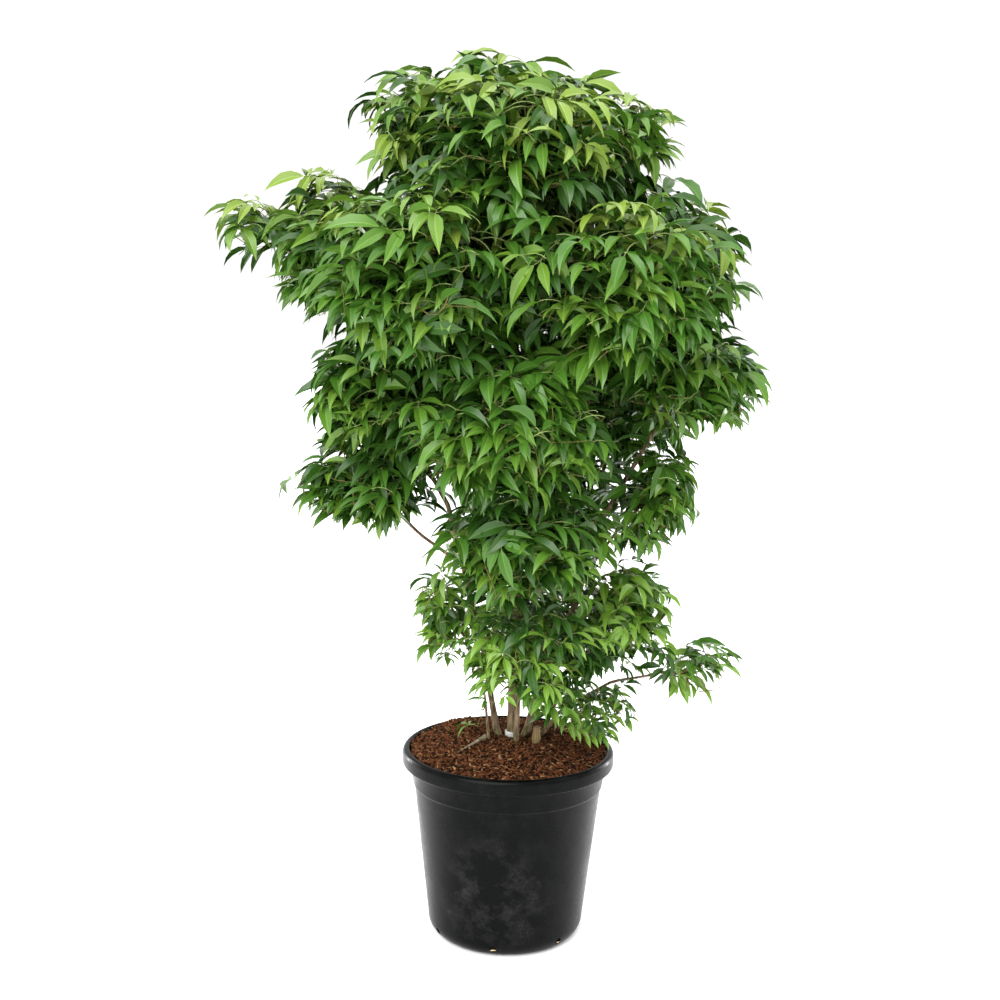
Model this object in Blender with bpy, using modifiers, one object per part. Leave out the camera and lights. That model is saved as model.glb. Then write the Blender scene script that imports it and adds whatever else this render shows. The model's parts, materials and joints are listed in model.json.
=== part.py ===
"""Potted colchis bladdernut: a tall multi-stemmed shrub in a round black nursery pot.

The pot stands on the world origin with its flat underside on Z = 0. +X is the right of
the photograph, -Y faces its camera, +Z is up, and all sizes are in metres.
"""
import math

import bmesh
import bpy
from mathutils import Vector, noise
from mathutils.bvhtree import BVHTree

# Pot
POT_HEIGHT = 0.446
RIM_RADIUS = 0.250
RIM_TOP_RADIUS = 0.243
RIM_INNER_RADIUS = 0.236
RIM_SKIRT_Z = 0.410
WALL_TOP_RADIUS = 0.2306
COLLAR_RADIUS = 0.2245
STEP_RADIUS = 0.2211
STEP_Z = 0.359
BASE_RADIUS = 0.1845
FOOT_RADIUS = 0.154
FOOT_EDGE_Z = 0.038
WALL = 0.003
POT_SEGMENTS = 48

# Drain holes round the foot of the pot
HOLE_COUNT = 7
HOLE_RADIUS = 0.008
HOLE_LENGTH = 0.030
HOLE_Z = 0.021
HOLE_FIRST_ANGLE = -98.0
HOLE_CENTRE_RADIUS = 0.176

# Bark mulch, domed, with a mound at the back left
SOIL_TOP_Z = 0.465
SOIL_EDGE_Z = 0.438
SOIL_PLATEAU = 0.085
SOIL_RADIUS = 0.2300
SOIL_RINGS = 6
MOUND_X = -0.135
MOUND_Y = 0.125
MOUND_HEIGHT = 0.020
MOUND_WIDTH = 0.060

# Small parts at the clump
TIE_Z = 0.478
TIE_HEIGHT = 0.014
TIE_THICKNESS = 0.002
TIE_SEGMENTS = 24
STUB_X = 0.064
STUB_Y = -0.036
STUB_HEIGHT = 0.042
STUB_RADIUS = 0.011
SPUR_RADIUS = 0.0055
SPUR_TIP_RADIUS = 0.0012
SPUR_FOOT = (-0.052, -0.046, 0.4835)
SPUR_TIP = (-0.118, -0.098, 0.4590)

# Clearances
WELD_DISTANCE = 0.00001
TOUCH_GAP = 0.0003
MASS_GAP = 0.0004
LIMB_GAP = 0.0006
FLOOR_GAP = 0.0010

# Limbs
STEM_RESOLUTION = 2
BOUGH_RESOLUTION = 1
FLARE = 1.45
FLARE_HEIGHT = 0.035
BOUGH_SAG = 0.048
LIMB_STEP = 0.002

# Foliage masses
MASS_POINTS = 100
LUMP = 0.20
LUMP_SCALE = 1.9
FINE_LUMP = 0.10
FINE_LUMP_SCALE = 4.3

UP = Vector((0.0, 0.0, 1.0))

COLOURS = {
    "pot": ((0.022, 0.023, 0.024), 0.42),
    "mulch": ((0.077, 0.034, 0.016), 0.95),
    "bark": ((0.150, 0.105, 0.062), 0.85),
    "dead": ((0.330, 0.270, 0.200), 0.90),
    "tie": ((0.780, 0.790, 0.800), 0.45),
    "leaf": ((0.075, 0.150, 0.030), 0.55),
}

# Stems: name, foot (x, y), waypoints up the stem, foot and tip radius, mass it enters
STEMS = (
    ("Stem_Main", (0.006, 0.000), ((0.004, 0.0, 0.72), (-0.004, 0.0, 1.05), (0.0, 0.0, 1.40)),
     0.0095, 0.0045, "Foliage_Top_Centre"),
    ("Stem_Left", (-0.026, 0.006), ((-0.065, 0.0, 0.69), (-0.107, 0.0, 0.85), (-0.15, -0.01, 1.02)),
     0.0080, 0.0040, "Foliage_Middle_Left"),
    ("Stem_Right", (0.040, 0.010), ((0.076, 0.02, 0.62), (0.155, 0.01, 0.80), (0.195, 0.01, 0.97)),
     0.0085, 0.0040, "Foliage_Middle_Right"),
    ("Stem_Back", (0.012, 0.040), ((0.010, 0.075, 0.70), (0.0, 0.11, 1.00), (-0.02, 0.13, 1.28)),
     0.0080, 0.0040, "Foliage_Upper_Back_Left"),
    ("Stem_Front", (0.018, -0.036), ((0.022, -0.06, 0.72), (0.0, -0.09, 1.00), (-0.02, -0.12, 1.26)),
     0.0070, 0.0035, "Foliage_Upper_Front_Left"),
    ("Stem_Low_Right", (0.070, 0.004), ((0.125, -0.02, 0.545), (0.24, -0.03, 0.617)),
     0.0050, 0.0025, "Foliage_Low_Right_Tip"),
    ("Stem_Thin_Left", (-0.046, -0.018), ((-0.058, -0.03, 0.58), (-0.078, -0.03, 0.66)),
     0.0035, 0.0020, "Foliage_Base_Left"),
)

# Boughs: name, stem it leaves, height of the fork, foot and tip radius, mass it enters
BOUGHS = (
    ("Bough_Upper_Left", "Stem_Main", 1.20, 0.0055, 0.0035, "Foliage_Upper_Left"),
    ("Bough_Upper_Right", "Stem_Main", 1.24, 0.0055, 0.0035, "Foliage_Upper_Right"),
    ("Bough_Top_Left", "Stem_Main", 1.50, 0.0042, 0.0030, "Foliage_Top_Left"),
    ("Bough_Top_Right", "Stem_Main", 1.53, 0.0042, 0.0030, "Foliage_Top_Right"),
    ("Bough_Top_Back", "Stem_Main", 1.56, 0.0040, 0.0030, "Foliage_Top_Back"),
    ("Bough_Top_Front", "Stem_Main", 1.47, 0.0042, 0.0030, "Foliage_Top_Front"),
    ("Bough_Middle_Front", "Stem_Front", 0.98, 0.0042, 0.0030, "Foliage_Middle_Front"),
    ("Bough_Lower_Front", "Stem_Front", 0.80, 0.0042, 0.0030, "Foliage_Lower_Front"),
    ("Bough_Upper_Front_Right", "Stem_Front", 1.16, 0.0040, 0.0030, "Foliage_Upper_Front_Right"),
    ("Bough_Middle_Back_Left", "Stem_Back", 0.98, 0.0042, 0.0030, "Foliage_Middle_Back_Left"),
    ("Bough_Middle_Back_Right", "Stem_Back", 1.02, 0.0042, 0.0030, "Foliage_Middle_Back_Right"),
    ("Bough_Upper_Back_Right", "Stem_Back", 1.18, 0.0040, 0.0030, "Foliage_Upper_Back_Right"),
    ("Bough_Lower_Back", "Stem_Back", 0.80, 0.0042, 0.0030, "Foliage_Lower_Back"),
    ("Bough_Base_Back", "Stem_Back", 0.58, 0.0040, 0.0028, "Foliage_Base_Back"),
    ("Bough_Base_Front", "Stem_Front", 0.58, 0.0038, 0.0026, "Foliage_Base_Front"),
    ("Bough_Lower_Left", "Stem_Left", 0.88, 0.0042, 0.0030, "Foliage_Lower_Left"),
    ("Bough_Lower_Right", "Stem_Right", 0.86, 0.0042, 0.0030, "Foliage_Lower_Right"),
    ("Bough_Base_Right", "Stem_Right", 0.66, 0.0042, 0.0030, "Foliage_Base_Right"),
)

# Masses: name, centre, half sizes across, front to back and up
MASSES = (
    ("Foliage_Top_Centre", (0.01, -0.02, 1.88), (0.20, 0.21, 0.150)),
    ("Foliage_Top_Left", (-0.19, -0.06, 1.86), (0.17, 0.21, 0.145)),
    ("Foliage_Top_Right", (0.20, -0.04, 1.82), (0.15, 0.21, 0.150)),
    ("Foliage_Top_Back", (-0.02, 0.26, 1.80), (0.29, 0.20, 0.170)),
    ("Foliage_Top_Front", (0.00, -0.28, 1.79), (0.27, 0.19, 0.165)),
    ("Foliage_Upper_Left", (-0.38, -0.02, 1.59), (0.215, 0.25, 0.185)),
    ("Foliage_Upper_Front_Left", (-0.20, -0.37, 1.53), (0.24, 0.20, 0.210)),
    ("Foliage_Upper_Front_Right", (0.20, -0.36, 1.52), (0.23, 0.20, 0.205)),
    ("Foliage_Upper_Right", (0.34, 0.00, 1.56), (0.180, 0.25, 0.180)),
    ("Foliage_Upper_Back_Left", (-0.24, 0.35, 1.55), (0.25, 0.22, 0.200)),
    ("Foliage_Upper_Back_Right", (0.22, 0.35, 1.54), (0.24, 0.22, 0.200)),
    ("Foliage_Left_Tip", (-0.59, -0.04, 1.64), (0.088, 0.10, 0.080)),
    ("Foliage_Middle_Left", (-0.29, -0.06, 1.28), (0.19, 0.24, 0.180)),
    ("Foliage_Middle_Front", (0.00, -0.31, 1.23), (0.27, 0.20, 0.195)),
    ("Foliage_Middle_Right", (0.38, -0.03, 1.32), (0.195, 0.23, 0.130)),
    ("Foliage_Middle_Back_Left", (-0.20, 0.30, 1.24), (0.24, 0.22, 0.190)),
    ("Foliage_Middle_Back_Right", (0.22, 0.30, 1.24), (0.24, 0.22, 0.190)),
    ("Foliage_Lower_Left", (-0.33, -0.04, 1.07), (0.180, 0.17, 0.105)),
    ("Foliage_Lower_Front", (0.03, -0.23, 0.96), (0.23, 0.17, 0.160)),
    ("Foliage_Lower_Right", (0.29, 0.00, 1.06), (0.130, 0.22, 0.160)),
    ("Foliage_Lower_Back", (0.05, 0.26, 0.98), (0.24, 0.18, 0.170)),
    ("Foliage_Base_Left", (-0.145, -0.01, 0.79), (0.080, 0.15, 0.150)),
    ("Foliage_Base_Front", (0.05, -0.17, 0.71), (0.17, 0.13, 0.165)),
    ("Foliage_Base_Right", (0.25, -0.02, 0.78), (0.125, 0.17, 0.155)),
    ("Foliage_Base_Back", (0.06, 0.19, 0.73), (0.18, 0.14, 0.175)),
    ("Foliage_Low_Right_Tip", (0.43, -0.03, 0.65), (0.115, 0.10, 0.060)),
    ("Foliage_Foot_Left", (-0.075, -0.052, 0.525), (0.050, 0.050, 0.038)),
    ("Foliage_Foot_Right", (0.175, -0.075, 0.565), (0.140, 0.105, 0.085)),
)


def clear_scene():
    for old in list(bpy.data.objects):
        bpy.data.objects.remove(old, do_unlink=True)


def new_collection(name):
    group = bpy.data.collections.new(name)
    bpy.context.scene.collection.children.link(group)
    return group


def material(name, kind):
    colour, roughness = COLOURS[kind]
    made = bpy.data.materials.new(name)
    made.use_nodes = True
    shader = made.node_tree.nodes["Principled BSDF"]
    shader.inputs["Base Color"].default_value = (*colour, 1.0)
    shader.inputs["Roughness"].default_value = roughness
    shader.inputs["Metallic"].default_value = 0.0
    return made


def add_object(name, mesh, group, kind, smooth_angle=None):
    made = bpy.data.objects.new(name, mesh)
    group.objects.link(made)
    mesh.materials.clear()
    mesh.materials.append(material(name + "_material", kind))
    if smooth_angle is not None:
        mesh.shade_smooth()
        mesh.set_sharp_from_angle(angle=math.radians(smooth_angle))
    return made


def mesh_from(name, verts, faces):
    mesh = bpy.data.meshes.new(name)
    mesh.from_pydata([tuple(v) for v in verts], [], faces)
    mesh.update()
    shape = bmesh.new()
    shape.from_mesh(mesh)
    bmesh.ops.recalc_face_normals(shape, faces=shape.faces)
    shape.to_mesh(mesh)
    shape.free()
    return mesh


def soil_height(x, y):
    """Height of the mulch: a level middle, a dome down to the rim and a mound at the back left."""
    out = min(1.0, max(0.0, (math.hypot(x, y) - SOIL_PLATEAU) / (SOIL_RADIUS - SOIL_PLATEAU)))
    mound = MOUND_HEIGHT * math.exp(-((x - MOUND_X) ** 2 + (y - MOUND_Y) ** 2) / MOUND_WIDTH ** 2)
    blend = min(1.0, out / 0.3) * (1.0 - out ** 4)
    return SOIL_TOP_Z - (SOIL_TOP_Z - SOIL_EDGE_Z) * out ** 1.7 + mound * blend


def quarter_round(radius, reach, height, steps):
    """Points of the rounded foot edge, from the wall down to the flat underside."""
    points = []
    for step in range(1, steps + 1):
        turn = 0.5 * math.pi * step / steps
        points.append((radius - reach * (1.0 - math.cos(turn)), height * (1.0 - math.sin(turn))))
    return points


def pot_profile():
    """Closed half section of the pot, from the axis under the floor round to the axis above it."""
    reach = BASE_RADIUS - FOOT_RADIUS
    foot = quarter_round(BASE_RADIUS, reach, FOOT_EDGE_Z, 4)
    inner = quarter_round(BASE_RADIUS - WALL, reach, FOOT_EDGE_Z, 4)
    outside = [(0.0, 0.0)]
    outside += [(r, max(z, 0.0)) for r, z in reversed(foot)]
    outside += [
        (BASE_RADIUS, FOOT_EDGE_Z),
        (STEP_RADIUS, STEP_Z),
        (COLLAR_RADIUS, STEP_Z + 0.004),
        (WALL_TOP_RADIUS, RIM_SKIRT_Z + 0.001),
        (RIM_RADIUS - 0.0045, RIM_SKIRT_Z),
        (RIM_RADIUS - 0.0015, RIM_SKIRT_Z + 0.002),
        (RIM_RADIUS, RIM_SKIRT_Z + 0.009),
        (RIM_RADIUS, POT_HEIGHT - 0.011),
        (RIM_RADIUS - 0.0025, POT_HEIGHT - 0.004),
        (RIM_TOP_RADIUS, POT_HEIGHT),
        (RIM_INNER_RADIUS, POT_HEIGHT),
        (RIM_INNER_RADIUS - 0.003, POT_HEIGHT - 0.004),
    ]
    inside = [
        (WALL_TOP_RADIUS - WALL, RIM_SKIRT_Z),
        (STEP_RADIUS - WALL, STEP_Z + 0.002),
        (BASE_RADIUS - WALL, FOOT_EDGE_Z + WALL),
    ]
    inside += [(r, z + WALL) for r, z in inner[:-1]]
    inside += [(inner[-1][0], WALL), (0.0, WALL)]
    return list(reversed(outside + inside))


def turned_mesh(name, profile, segments, closed=False):
    """Turn a half section round the Z axis; the profile runs down its outer side."""
    mesh = bpy.data.meshes.new(name + "_profile")
    count = len(profile)
    edges = [(index, index + 1) for index in range(count - 1)]
    if closed:
        edges.append((count - 1, 0))
    mesh.from_pydata([(radius, 0.0, height) for radius, height in profile], edges, [])
    guide = bpy.data.objects.new(name + "_profile", mesh)
    bpy.context.scene.collection.objects.link(guide)
    screw = guide.modifiers.new("Turn", "SCREW")
    screw.axis = "Z"
    screw.angle = 2.0 * math.pi
    screw.steps = segments
    screw.render_steps = segments
    screw.use_merge_vertices = True
    screw.merge_threshold = WELD_DISTANCE
    return applied_mesh(name, guide)


def applied_mesh(name, guide):
    """Mesh of a guide object with its modifiers or bevel applied and loose caps welded."""
    bpy.context.view_layer.update()
    depsgraph = bpy.context.evaluated_depsgraph_get()
    mesh = bpy.data.meshes.new_from_object(guide.evaluated_get(depsgraph))
    mesh.name = name
    shape = bmesh.new()
    shape.from_mesh(mesh)
    bmesh.ops.remove_doubles(shape, verts=shape.verts, dist=WELD_DISTANCE)
    bmesh.ops.recalc_face_normals(shape, faces=shape.faces)
    shape.to_mesh(mesh)
    shape.free()
    bpy.data.objects.remove(guide, do_unlink=True)
    return mesh


def tube_mesh(name, knots, radii, resolution):
    """Tapering tube along a few knots, with flat ends."""
    curve = bpy.data.curves.new(name + "_path", "CURVE")
    curve.dimensions = "3D"
    curve.bevel_depth = radii[0]
    curve.bevel_resolution = resolution
    curve.use_fill_caps = True
    spline = curve.splines.new("POLY")
    spline.points.add(len(knots) - 1)
    for point, knot, radius in zip(spline.points, knots, radii):
        point.co = (*knot, 1.0)
        point.radius = radius / radii[0]
    guide = bpy.data.objects.new(name + "_path", curve)
    bpy.context.scene.collection.objects.link(guide)
    return applied_mesh(name, guide)


def cut_flat(mesh, point, normal):
    """Cut a mesh off flat behind a plane and close the cut."""
    shape = bmesh.new()
    shape.from_mesh(mesh)
    everything = shape.verts[:] + shape.edges[:] + shape.faces[:]
    bmesh.ops.bisect_plane(shape, geom=everything, dist=WELD_DISTANCE, plane_co=point,
                           plane_no=normal, clear_inner=True)
    open_edges = [edge for edge in shape.edges if edge.is_boundary]
    bmesh.ops.edgenet_fill(shape, edges=open_edges)
    bmesh.ops.recalc_face_normals(shape, faces=shape.faces)
    shape.to_mesh(mesh)
    shape.free()


def hole_cutter(name, group, angle):
    """Round cutter pointing out and down through the rounded foot edge."""
    shape = bmesh.new()
    bmesh.ops.create_cone(shape, cap_ends=True, segments=12, radius1=HOLE_RADIUS,
                          radius2=HOLE_RADIUS, depth=HOLE_LENGTH)
    mesh = bpy.data.meshes.new(name)
    shape.to_mesh(mesh)
    shape.free()
    cutter = bpy.data.objects.new(name, mesh)
    group.objects.link(cutter)
    turn = math.radians(angle)
    cutter.location = (HOLE_CENTRE_RADIUS * math.cos(turn), HOLE_CENTRE_RADIUS * math.sin(turn), HOLE_Z)
    cutter.rotation_euler = (0.0, math.radians(66.0), turn)
    cutter.hide_render = True
    cutter.display_type = "WIRE"
    return cutter


def build_pot(group, cutters):
    pot = add_object("Pot", turned_mesh("Pot", pot_profile(), POT_SEGMENTS), group, "pot", 35.0)
    for index in range(HOLE_COUNT):
        angle = HOLE_FIRST_ANGLE + index * 360.0 / HOLE_COUNT
        cutter = hole_cutter("Drain_Cutter_%d" % index, cutters, angle)
        cut = pot.modifiers.new("Drain_%d" % index, "BOOLEAN")
        cut.operation = "DIFFERENCE"
        cut.solver = "EXACT"
        cut.object = cutter
    return pot


def build_mulch(group):
    """Potting mix that fills the pot, under a domed top of bark mulch."""
    gap = TOUCH_GAP * 1.6
    inner = quarter_round(BASE_RADIUS - WALL, BASE_RADIUS - FOOT_RADIUS, FOOT_EDGE_Z, 4)
    profile = [(0.0, WALL + gap)]
    profile += [(r - gap, z + WALL + gap) for r, z in reversed(inner)]
    profile += [
        (BASE_RADIUS - WALL - gap, FOOT_EDGE_Z + WALL),
        (STEP_RADIUS - WALL - gap, STEP_Z + 0.002),
        (WALL_TOP_RADIUS - WALL - gap, RIM_SKIRT_Z),
        (SOIL_RADIUS, SOIL_EDGE_Z),
    ]
    for step in range(1, SOIL_RINGS + 1):
        share = 1.0 - step / (SOIL_RINGS + 1)
        profile.append((SOIL_RADIUS * share, SOIL_TOP_Z))
    profile.append((0.0, SOIL_TOP_Z))
    mesh = turned_mesh("Mulch", list(reversed(profile)), POT_SEGMENTS)
    for vert in mesh.vertices:
        if vert.co.z > SOIL_EDGE_Z + TOUCH_GAP:
            vert.co.z = soil_height(vert.co.x, vert.co.y)
    return add_object("Mulch", mesh, group, "mulch", 40.0)


class Limb:
    """A tapering limb along a few knots, cut where it meets the mass it enters."""

    def __init__(self, name, knots, foot_radius, tip_radius, into, resolution):
        self.name = name
        self.knots = [Vector(k) for k in knots]
        self.into = into
        self.resolution = resolution
        self.cut = None
        length = self.lengths()[-1]
        self.radii = [foot_radius + (tip_radius - foot_radius) * s / length for s in self.lengths()]

    def lengths(self):
        total = [0.0]
        for low, high in zip(self.knots, self.knots[1:]):
            total.append(total[-1] + (high - low).length)
        return total

    def at_height(self, height):
        """Centre, radius and direction where the limb passes a height."""
        for index in range(len(self.knots) - 1):
            low = self.knots[index]
            high = self.knots[index + 1]
            if low.z <= height <= high.z:
                share = (height - low.z) / (high.z - low.z)
                radius = self.radii[index] + (self.radii[index + 1] - self.radii[index]) * share
                return low.lerp(high, share), radius, (high - low).normalized()
        raise ValueError(self.name)

    def segments(self):
        for index in range(len(self.knots) - 1):
            yield self.knots[index], self.knots[index + 1], max(self.radii[index], self.radii[index + 1])

    def cut_at(self, tree):
        """End the limb just before the surface of the mass."""
        knots = [self.knots[0]]
        radii = [self.radii[0]]
        for index in range(len(self.knots) - 1):
            low = self.knots[index]
            high = self.knots[index + 1]
            steps = max(2, int((high - low).length / LIMB_STEP))
            for step in range(1, steps + 1):
                share = step / steps
                point = low.lerp(high, share)
                radius = self.radii[index] + (self.radii[index + 1] - self.radii[index]) * share
                near, normal, _, distance = tree.find_nearest(point)
                inside = (point - near).dot(normal) < 0.0
                if inside or distance < self.radii[index] + LIMB_GAP:
                    back = low.lerp(high, (step - 1) / steps)
                    knots.append(back)
                    radii.append(radius)
                    self.knots = knots
                    self.radii = radii
                    return
            knots.append(high)
            radii.append(self.radii[index + 1])

    def mesh(self):
        mesh = tube_mesh(self.name, self.knots, self.radii, self.resolution)
        if self.cut is not None:
            cut_flat(mesh, *self.cut)
        return mesh


def make_stem(entry, centres):
    name, foot, via, foot_radius, tip_radius, into = entry
    base = Vector((foot[0], foot[1], SOIL_TOP_Z + TOUCH_GAP))
    goal = Vector(centres[into])
    first = Vector(via[0])
    flare_top = base.lerp(first, FLARE_HEIGHT / (first.z - base.z))
    buried = base.lerp(flare_top, -0.3)
    stem = Limb(name, [buried, flare_top, *via, goal], foot_radius, tip_radius, into, STEM_RESOLUTION)
    stem.radii[0] *= FLARE
    stem.cut = (base, UP)
    return stem


def make_bough(entry, stems, centres):
    """A bough leaves its stem on a flat collar and rises in a shallow bow to its mass."""
    name, parent, height, foot_radius, tip_radius, into = entry
    centre, radius, along = stems[parent].at_height(height)
    goal = Vector(centres[into])
    span = goal - centre
    middle = centre.lerp(goal, 0.45) - UP * (BOUGH_SAG * span.length)
    outward = middle - centre
    outward = (outward - along * outward.dot(along)).normalized()
    bough = Limb(name, [centre, middle, goal], foot_radius, tip_radius, into, BOUGH_RESOLUTION)
    bough.cut = (centre + outward * (radius + TOUCH_GAP), outward)
    return bough


def closest_on(low, high, point):
    span = high - low
    share = max(0.0, min(1.0, (point - low).dot(span) / span.length_squared))
    return low + span * share


def sphere_directions(count):
    """Even directions round a sphere."""
    turn = math.pi * (3.0 - math.sqrt(5.0))
    directions = []
    for index in range(count):
        height = 1.0 - 2.0 * (index + 0.5) / count
        width = math.sqrt(1.0 - height * height)
        directions.append(Vector((width * math.cos(turn * index), width * math.sin(turn * index), height)))
    return directions


def oval_radius(direction, half):
    return 1.0 / math.sqrt(sum((direction[axis] / half[axis]) ** 2 for axis in range(3)))


def floor_under(centre, half):
    """Highest point of mulch or rim under a mass."""
    highest = 0.0
    for ring in (0.0, 0.4, 0.7, 1.0):
        for step in range(16):
            turn = 2.0 * math.pi * step / 16
            x = centre[0] + half[0] * ring * math.cos(turn)
            y = centre[1] + half[1] * ring * math.sin(turn)
            reach = math.hypot(x, y)
            if reach < SOIL_RADIUS:
                highest = max(highest, soil_height(x, y))
            elif reach < RIM_RADIUS + 0.01:
                highest = max(highest, POT_HEIGHT)
    return highest + FLOOR_GAP


def mass_planes(index, limbs, blocks):
    """Planes that keep a mass clear of its neighbours, the passing limbs and the mulch."""
    name, centre, half = MASSES[index]
    here = Vector(centre)
    planes = []
    for other, (_, far_centre, far_half) in enumerate(MASSES):
        if other == index:
            continue
        span = Vector(far_centre) - here
        if span.length > 1.5 * (max(half) + max(far_half)):
            continue
        toward = span.normalized()
        own = oval_radius(toward, half)
        theirs = oval_radius(-toward, far_half)
        planes.append((toward, span.length * own / (own + theirs) - MASS_GAP))
    for limb in limbs:
        if limb.into == name:
            continue
        for low, high, radius in limb.segments():
            nearest = closest_on(low, high, here)
            span = nearest - here
            if span.length < 1.5 * max(half) + radius:
                planes.append((span.normalized(), span.length - radius - LIMB_GAP))
    for corner, reach in blocks:
        span = Vector(corner) - here
        if span.length < 1.5 * max(half) + reach:
            planes.append((span.normalized(), span.length - reach - LIMB_GAP))
    planes.append((Vector((0.0, 0.0, -1.0)), here.z - floor_under(centre, half)))
    return planes


def mass_mesh(index, directions, hull, limbs, blocks):
    """One closed, uneven solid of leaves, cut flat only where it meets its neighbours."""
    name, centre, half = MASSES[index]
    planes = mass_planes(index, limbs, blocks)
    shift = Vector((3.7 * index, 1.3 * index, 5.1))
    verts = []
    for direction in directions:
        lumps = LUMP * noise.noise(direction * LUMP_SCALE + shift)
        lumps += FINE_LUMP * noise.noise(direction * FINE_LUMP_SCALE - shift)
        radius = oval_radius(direction, half) * (1.0 + lumps)
        for normal, reach in planes:
            facing = direction.dot(normal)
            if facing > 0.0:
                radius = min(radius, reach / facing)
        verts.append(Vector(centre) + direction * radius)
    return mesh_from(name, verts, hull)


def hull_faces(directions):
    """Triangles that join even directions into a closed ball."""
    shape = bmesh.new()
    for direction in directions:
        shape.verts.new(direction)
    bmesh.ops.convex_hull(shape, input=shape.verts)
    shape.verts.index_update()
    faces = [tuple(v.index for v in face.verts) for face in shape.faces]
    shape.free()
    return faces


def tree_of(mesh):
    shape = bmesh.new()
    shape.from_mesh(mesh)
    tree = BVHTree.FromBMesh(shape)
    shape.free()
    return tree


def build_tie(group, stem):
    """Plain white tie band round the foot of the main stem."""
    centre, radius, along = stem.at_height(TIE_Z)
    low_radius = stem.radii[0]
    inner = max(radius, low_radius * 0.9) + TOUCH_GAP * 3.0
    outer = inner + TIE_THICKNESS
    half = TIE_HEIGHT / 2.0
    profile = ((inner, half), (outer, half), (outer, -half), (inner, -half))
    mesh = turned_mesh("Stem_Tie", profile, TIE_SEGMENTS, closed=True)
    tie = add_object("Stem_Tie", mesh, group, "tie", 40.0)
    tie.location = centre
    tie.rotation_mode = "QUATERNION"
    tie.rotation_quaternion = along.to_track_quat("Z", "Y")
    return tie


def build_dead_wood(group):
    """A cut stub standing in the mulch and a dead spur lying on it."""
    foot = Vector((STUB_X, STUB_Y, SOIL_TOP_Z + TOUCH_GAP))
    lean = Vector((0.002, -0.002, STUB_HEIGHT))
    stub = Limb("Cut_Stub", [foot - lean * 0.2, foot + lean], STUB_RADIUS, STUB_RADIUS * 0.85,
                None, STEM_RESOLUTION)
    stub.cut = (foot, UP)
    add_object("Cut_Stub", stub.mesh(), group, "dead", 40.0)
    spur = Limb("Dead_Spur", [SPUR_FOOT, SPUR_TIP], SPUR_RADIUS, SPUR_TIP_RADIUS, None, STEM_RESOLUTION)
    add_object("Dead_Spur", spur.mesh(), group, "dead", 40.0)
    blocks = [(foot + Vector((0.0, 0.0, STUB_HEIGHT * 0.5)), STUB_HEIGHT * 0.5 + STUB_RADIUS)]
    return [spur], blocks


def main():
    clear_scene()
    group = new_collection("Potted_Colchis_Bladdernut")
    cutters = new_collection("Cutters")
    build_pot(group, cutters)
    build_mulch(group)

    centres = {name: centre for name, centre, _ in MASSES}
    stems = {}
    for entry in STEMS:
        stems[entry[0]] = make_stem(entry, centres)
    limbs = list(stems.values())
    for entry in BOUGHS:
        limbs.append(make_bough(entry, stems, centres))
    spurs, blocks = build_dead_wood(group)
    build_tie(group, stems["Stem_Main"])

    directions = sphere_directions(MASS_POINTS)
    hull = hull_faces(directions)
    trees = {}
    for index, (name, _, _) in enumerate(MASSES):
        mesh = mass_mesh(index, directions, hull, limbs + spurs, blocks)
        trees[name] = tree_of(mesh)
        add_object(name, mesh, group, "leaf", 80.0)
    for limb in limbs:
        limb.cut_at(trees[limb.into])
        add_object(limb.name, limb.mesh(), group, "bark", 50.0)


main()
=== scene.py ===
# %% [markdown]
# A tall bladdernut shrub in a black nursery pot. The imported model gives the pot, the mulch,
# the stems, the boughs and one plain lump for each mass of leaves. This script keeps those
# places and sizes and gives each of them the look of the real thing. Lengths are in metres,
# the pot stands on z = 0, and the camera looks along +Y.

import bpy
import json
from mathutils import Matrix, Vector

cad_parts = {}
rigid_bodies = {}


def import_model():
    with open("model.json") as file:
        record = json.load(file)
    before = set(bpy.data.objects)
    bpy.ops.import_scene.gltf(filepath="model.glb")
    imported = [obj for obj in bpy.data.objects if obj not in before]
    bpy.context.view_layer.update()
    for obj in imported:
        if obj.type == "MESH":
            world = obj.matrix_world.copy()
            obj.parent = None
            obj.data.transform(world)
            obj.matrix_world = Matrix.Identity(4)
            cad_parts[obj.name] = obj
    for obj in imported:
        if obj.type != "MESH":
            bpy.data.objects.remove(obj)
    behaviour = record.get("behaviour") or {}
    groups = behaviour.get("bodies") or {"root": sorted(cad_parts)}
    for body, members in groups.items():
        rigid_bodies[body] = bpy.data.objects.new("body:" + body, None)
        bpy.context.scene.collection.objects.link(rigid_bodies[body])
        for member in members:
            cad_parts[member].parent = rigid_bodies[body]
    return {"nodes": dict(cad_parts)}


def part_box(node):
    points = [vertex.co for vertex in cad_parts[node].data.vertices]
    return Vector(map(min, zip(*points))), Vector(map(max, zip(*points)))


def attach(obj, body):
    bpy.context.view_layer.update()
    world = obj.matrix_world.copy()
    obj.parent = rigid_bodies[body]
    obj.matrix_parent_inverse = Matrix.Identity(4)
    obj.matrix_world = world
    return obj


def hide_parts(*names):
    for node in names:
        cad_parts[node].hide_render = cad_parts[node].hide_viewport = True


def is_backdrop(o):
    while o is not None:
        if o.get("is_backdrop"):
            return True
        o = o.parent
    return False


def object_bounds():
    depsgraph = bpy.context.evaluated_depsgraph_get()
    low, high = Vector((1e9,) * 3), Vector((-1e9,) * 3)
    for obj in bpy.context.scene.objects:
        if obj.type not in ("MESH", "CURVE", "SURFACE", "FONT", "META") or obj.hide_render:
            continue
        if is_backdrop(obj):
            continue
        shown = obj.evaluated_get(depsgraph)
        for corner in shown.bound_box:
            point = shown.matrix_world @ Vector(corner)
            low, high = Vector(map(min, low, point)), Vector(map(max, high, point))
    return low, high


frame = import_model()
cad_low, cad_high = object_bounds()
nodes = frame["nodes"]
print("nodes in the frame:", len(nodes))

# %% Modules and the seed
import json
import math

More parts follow.
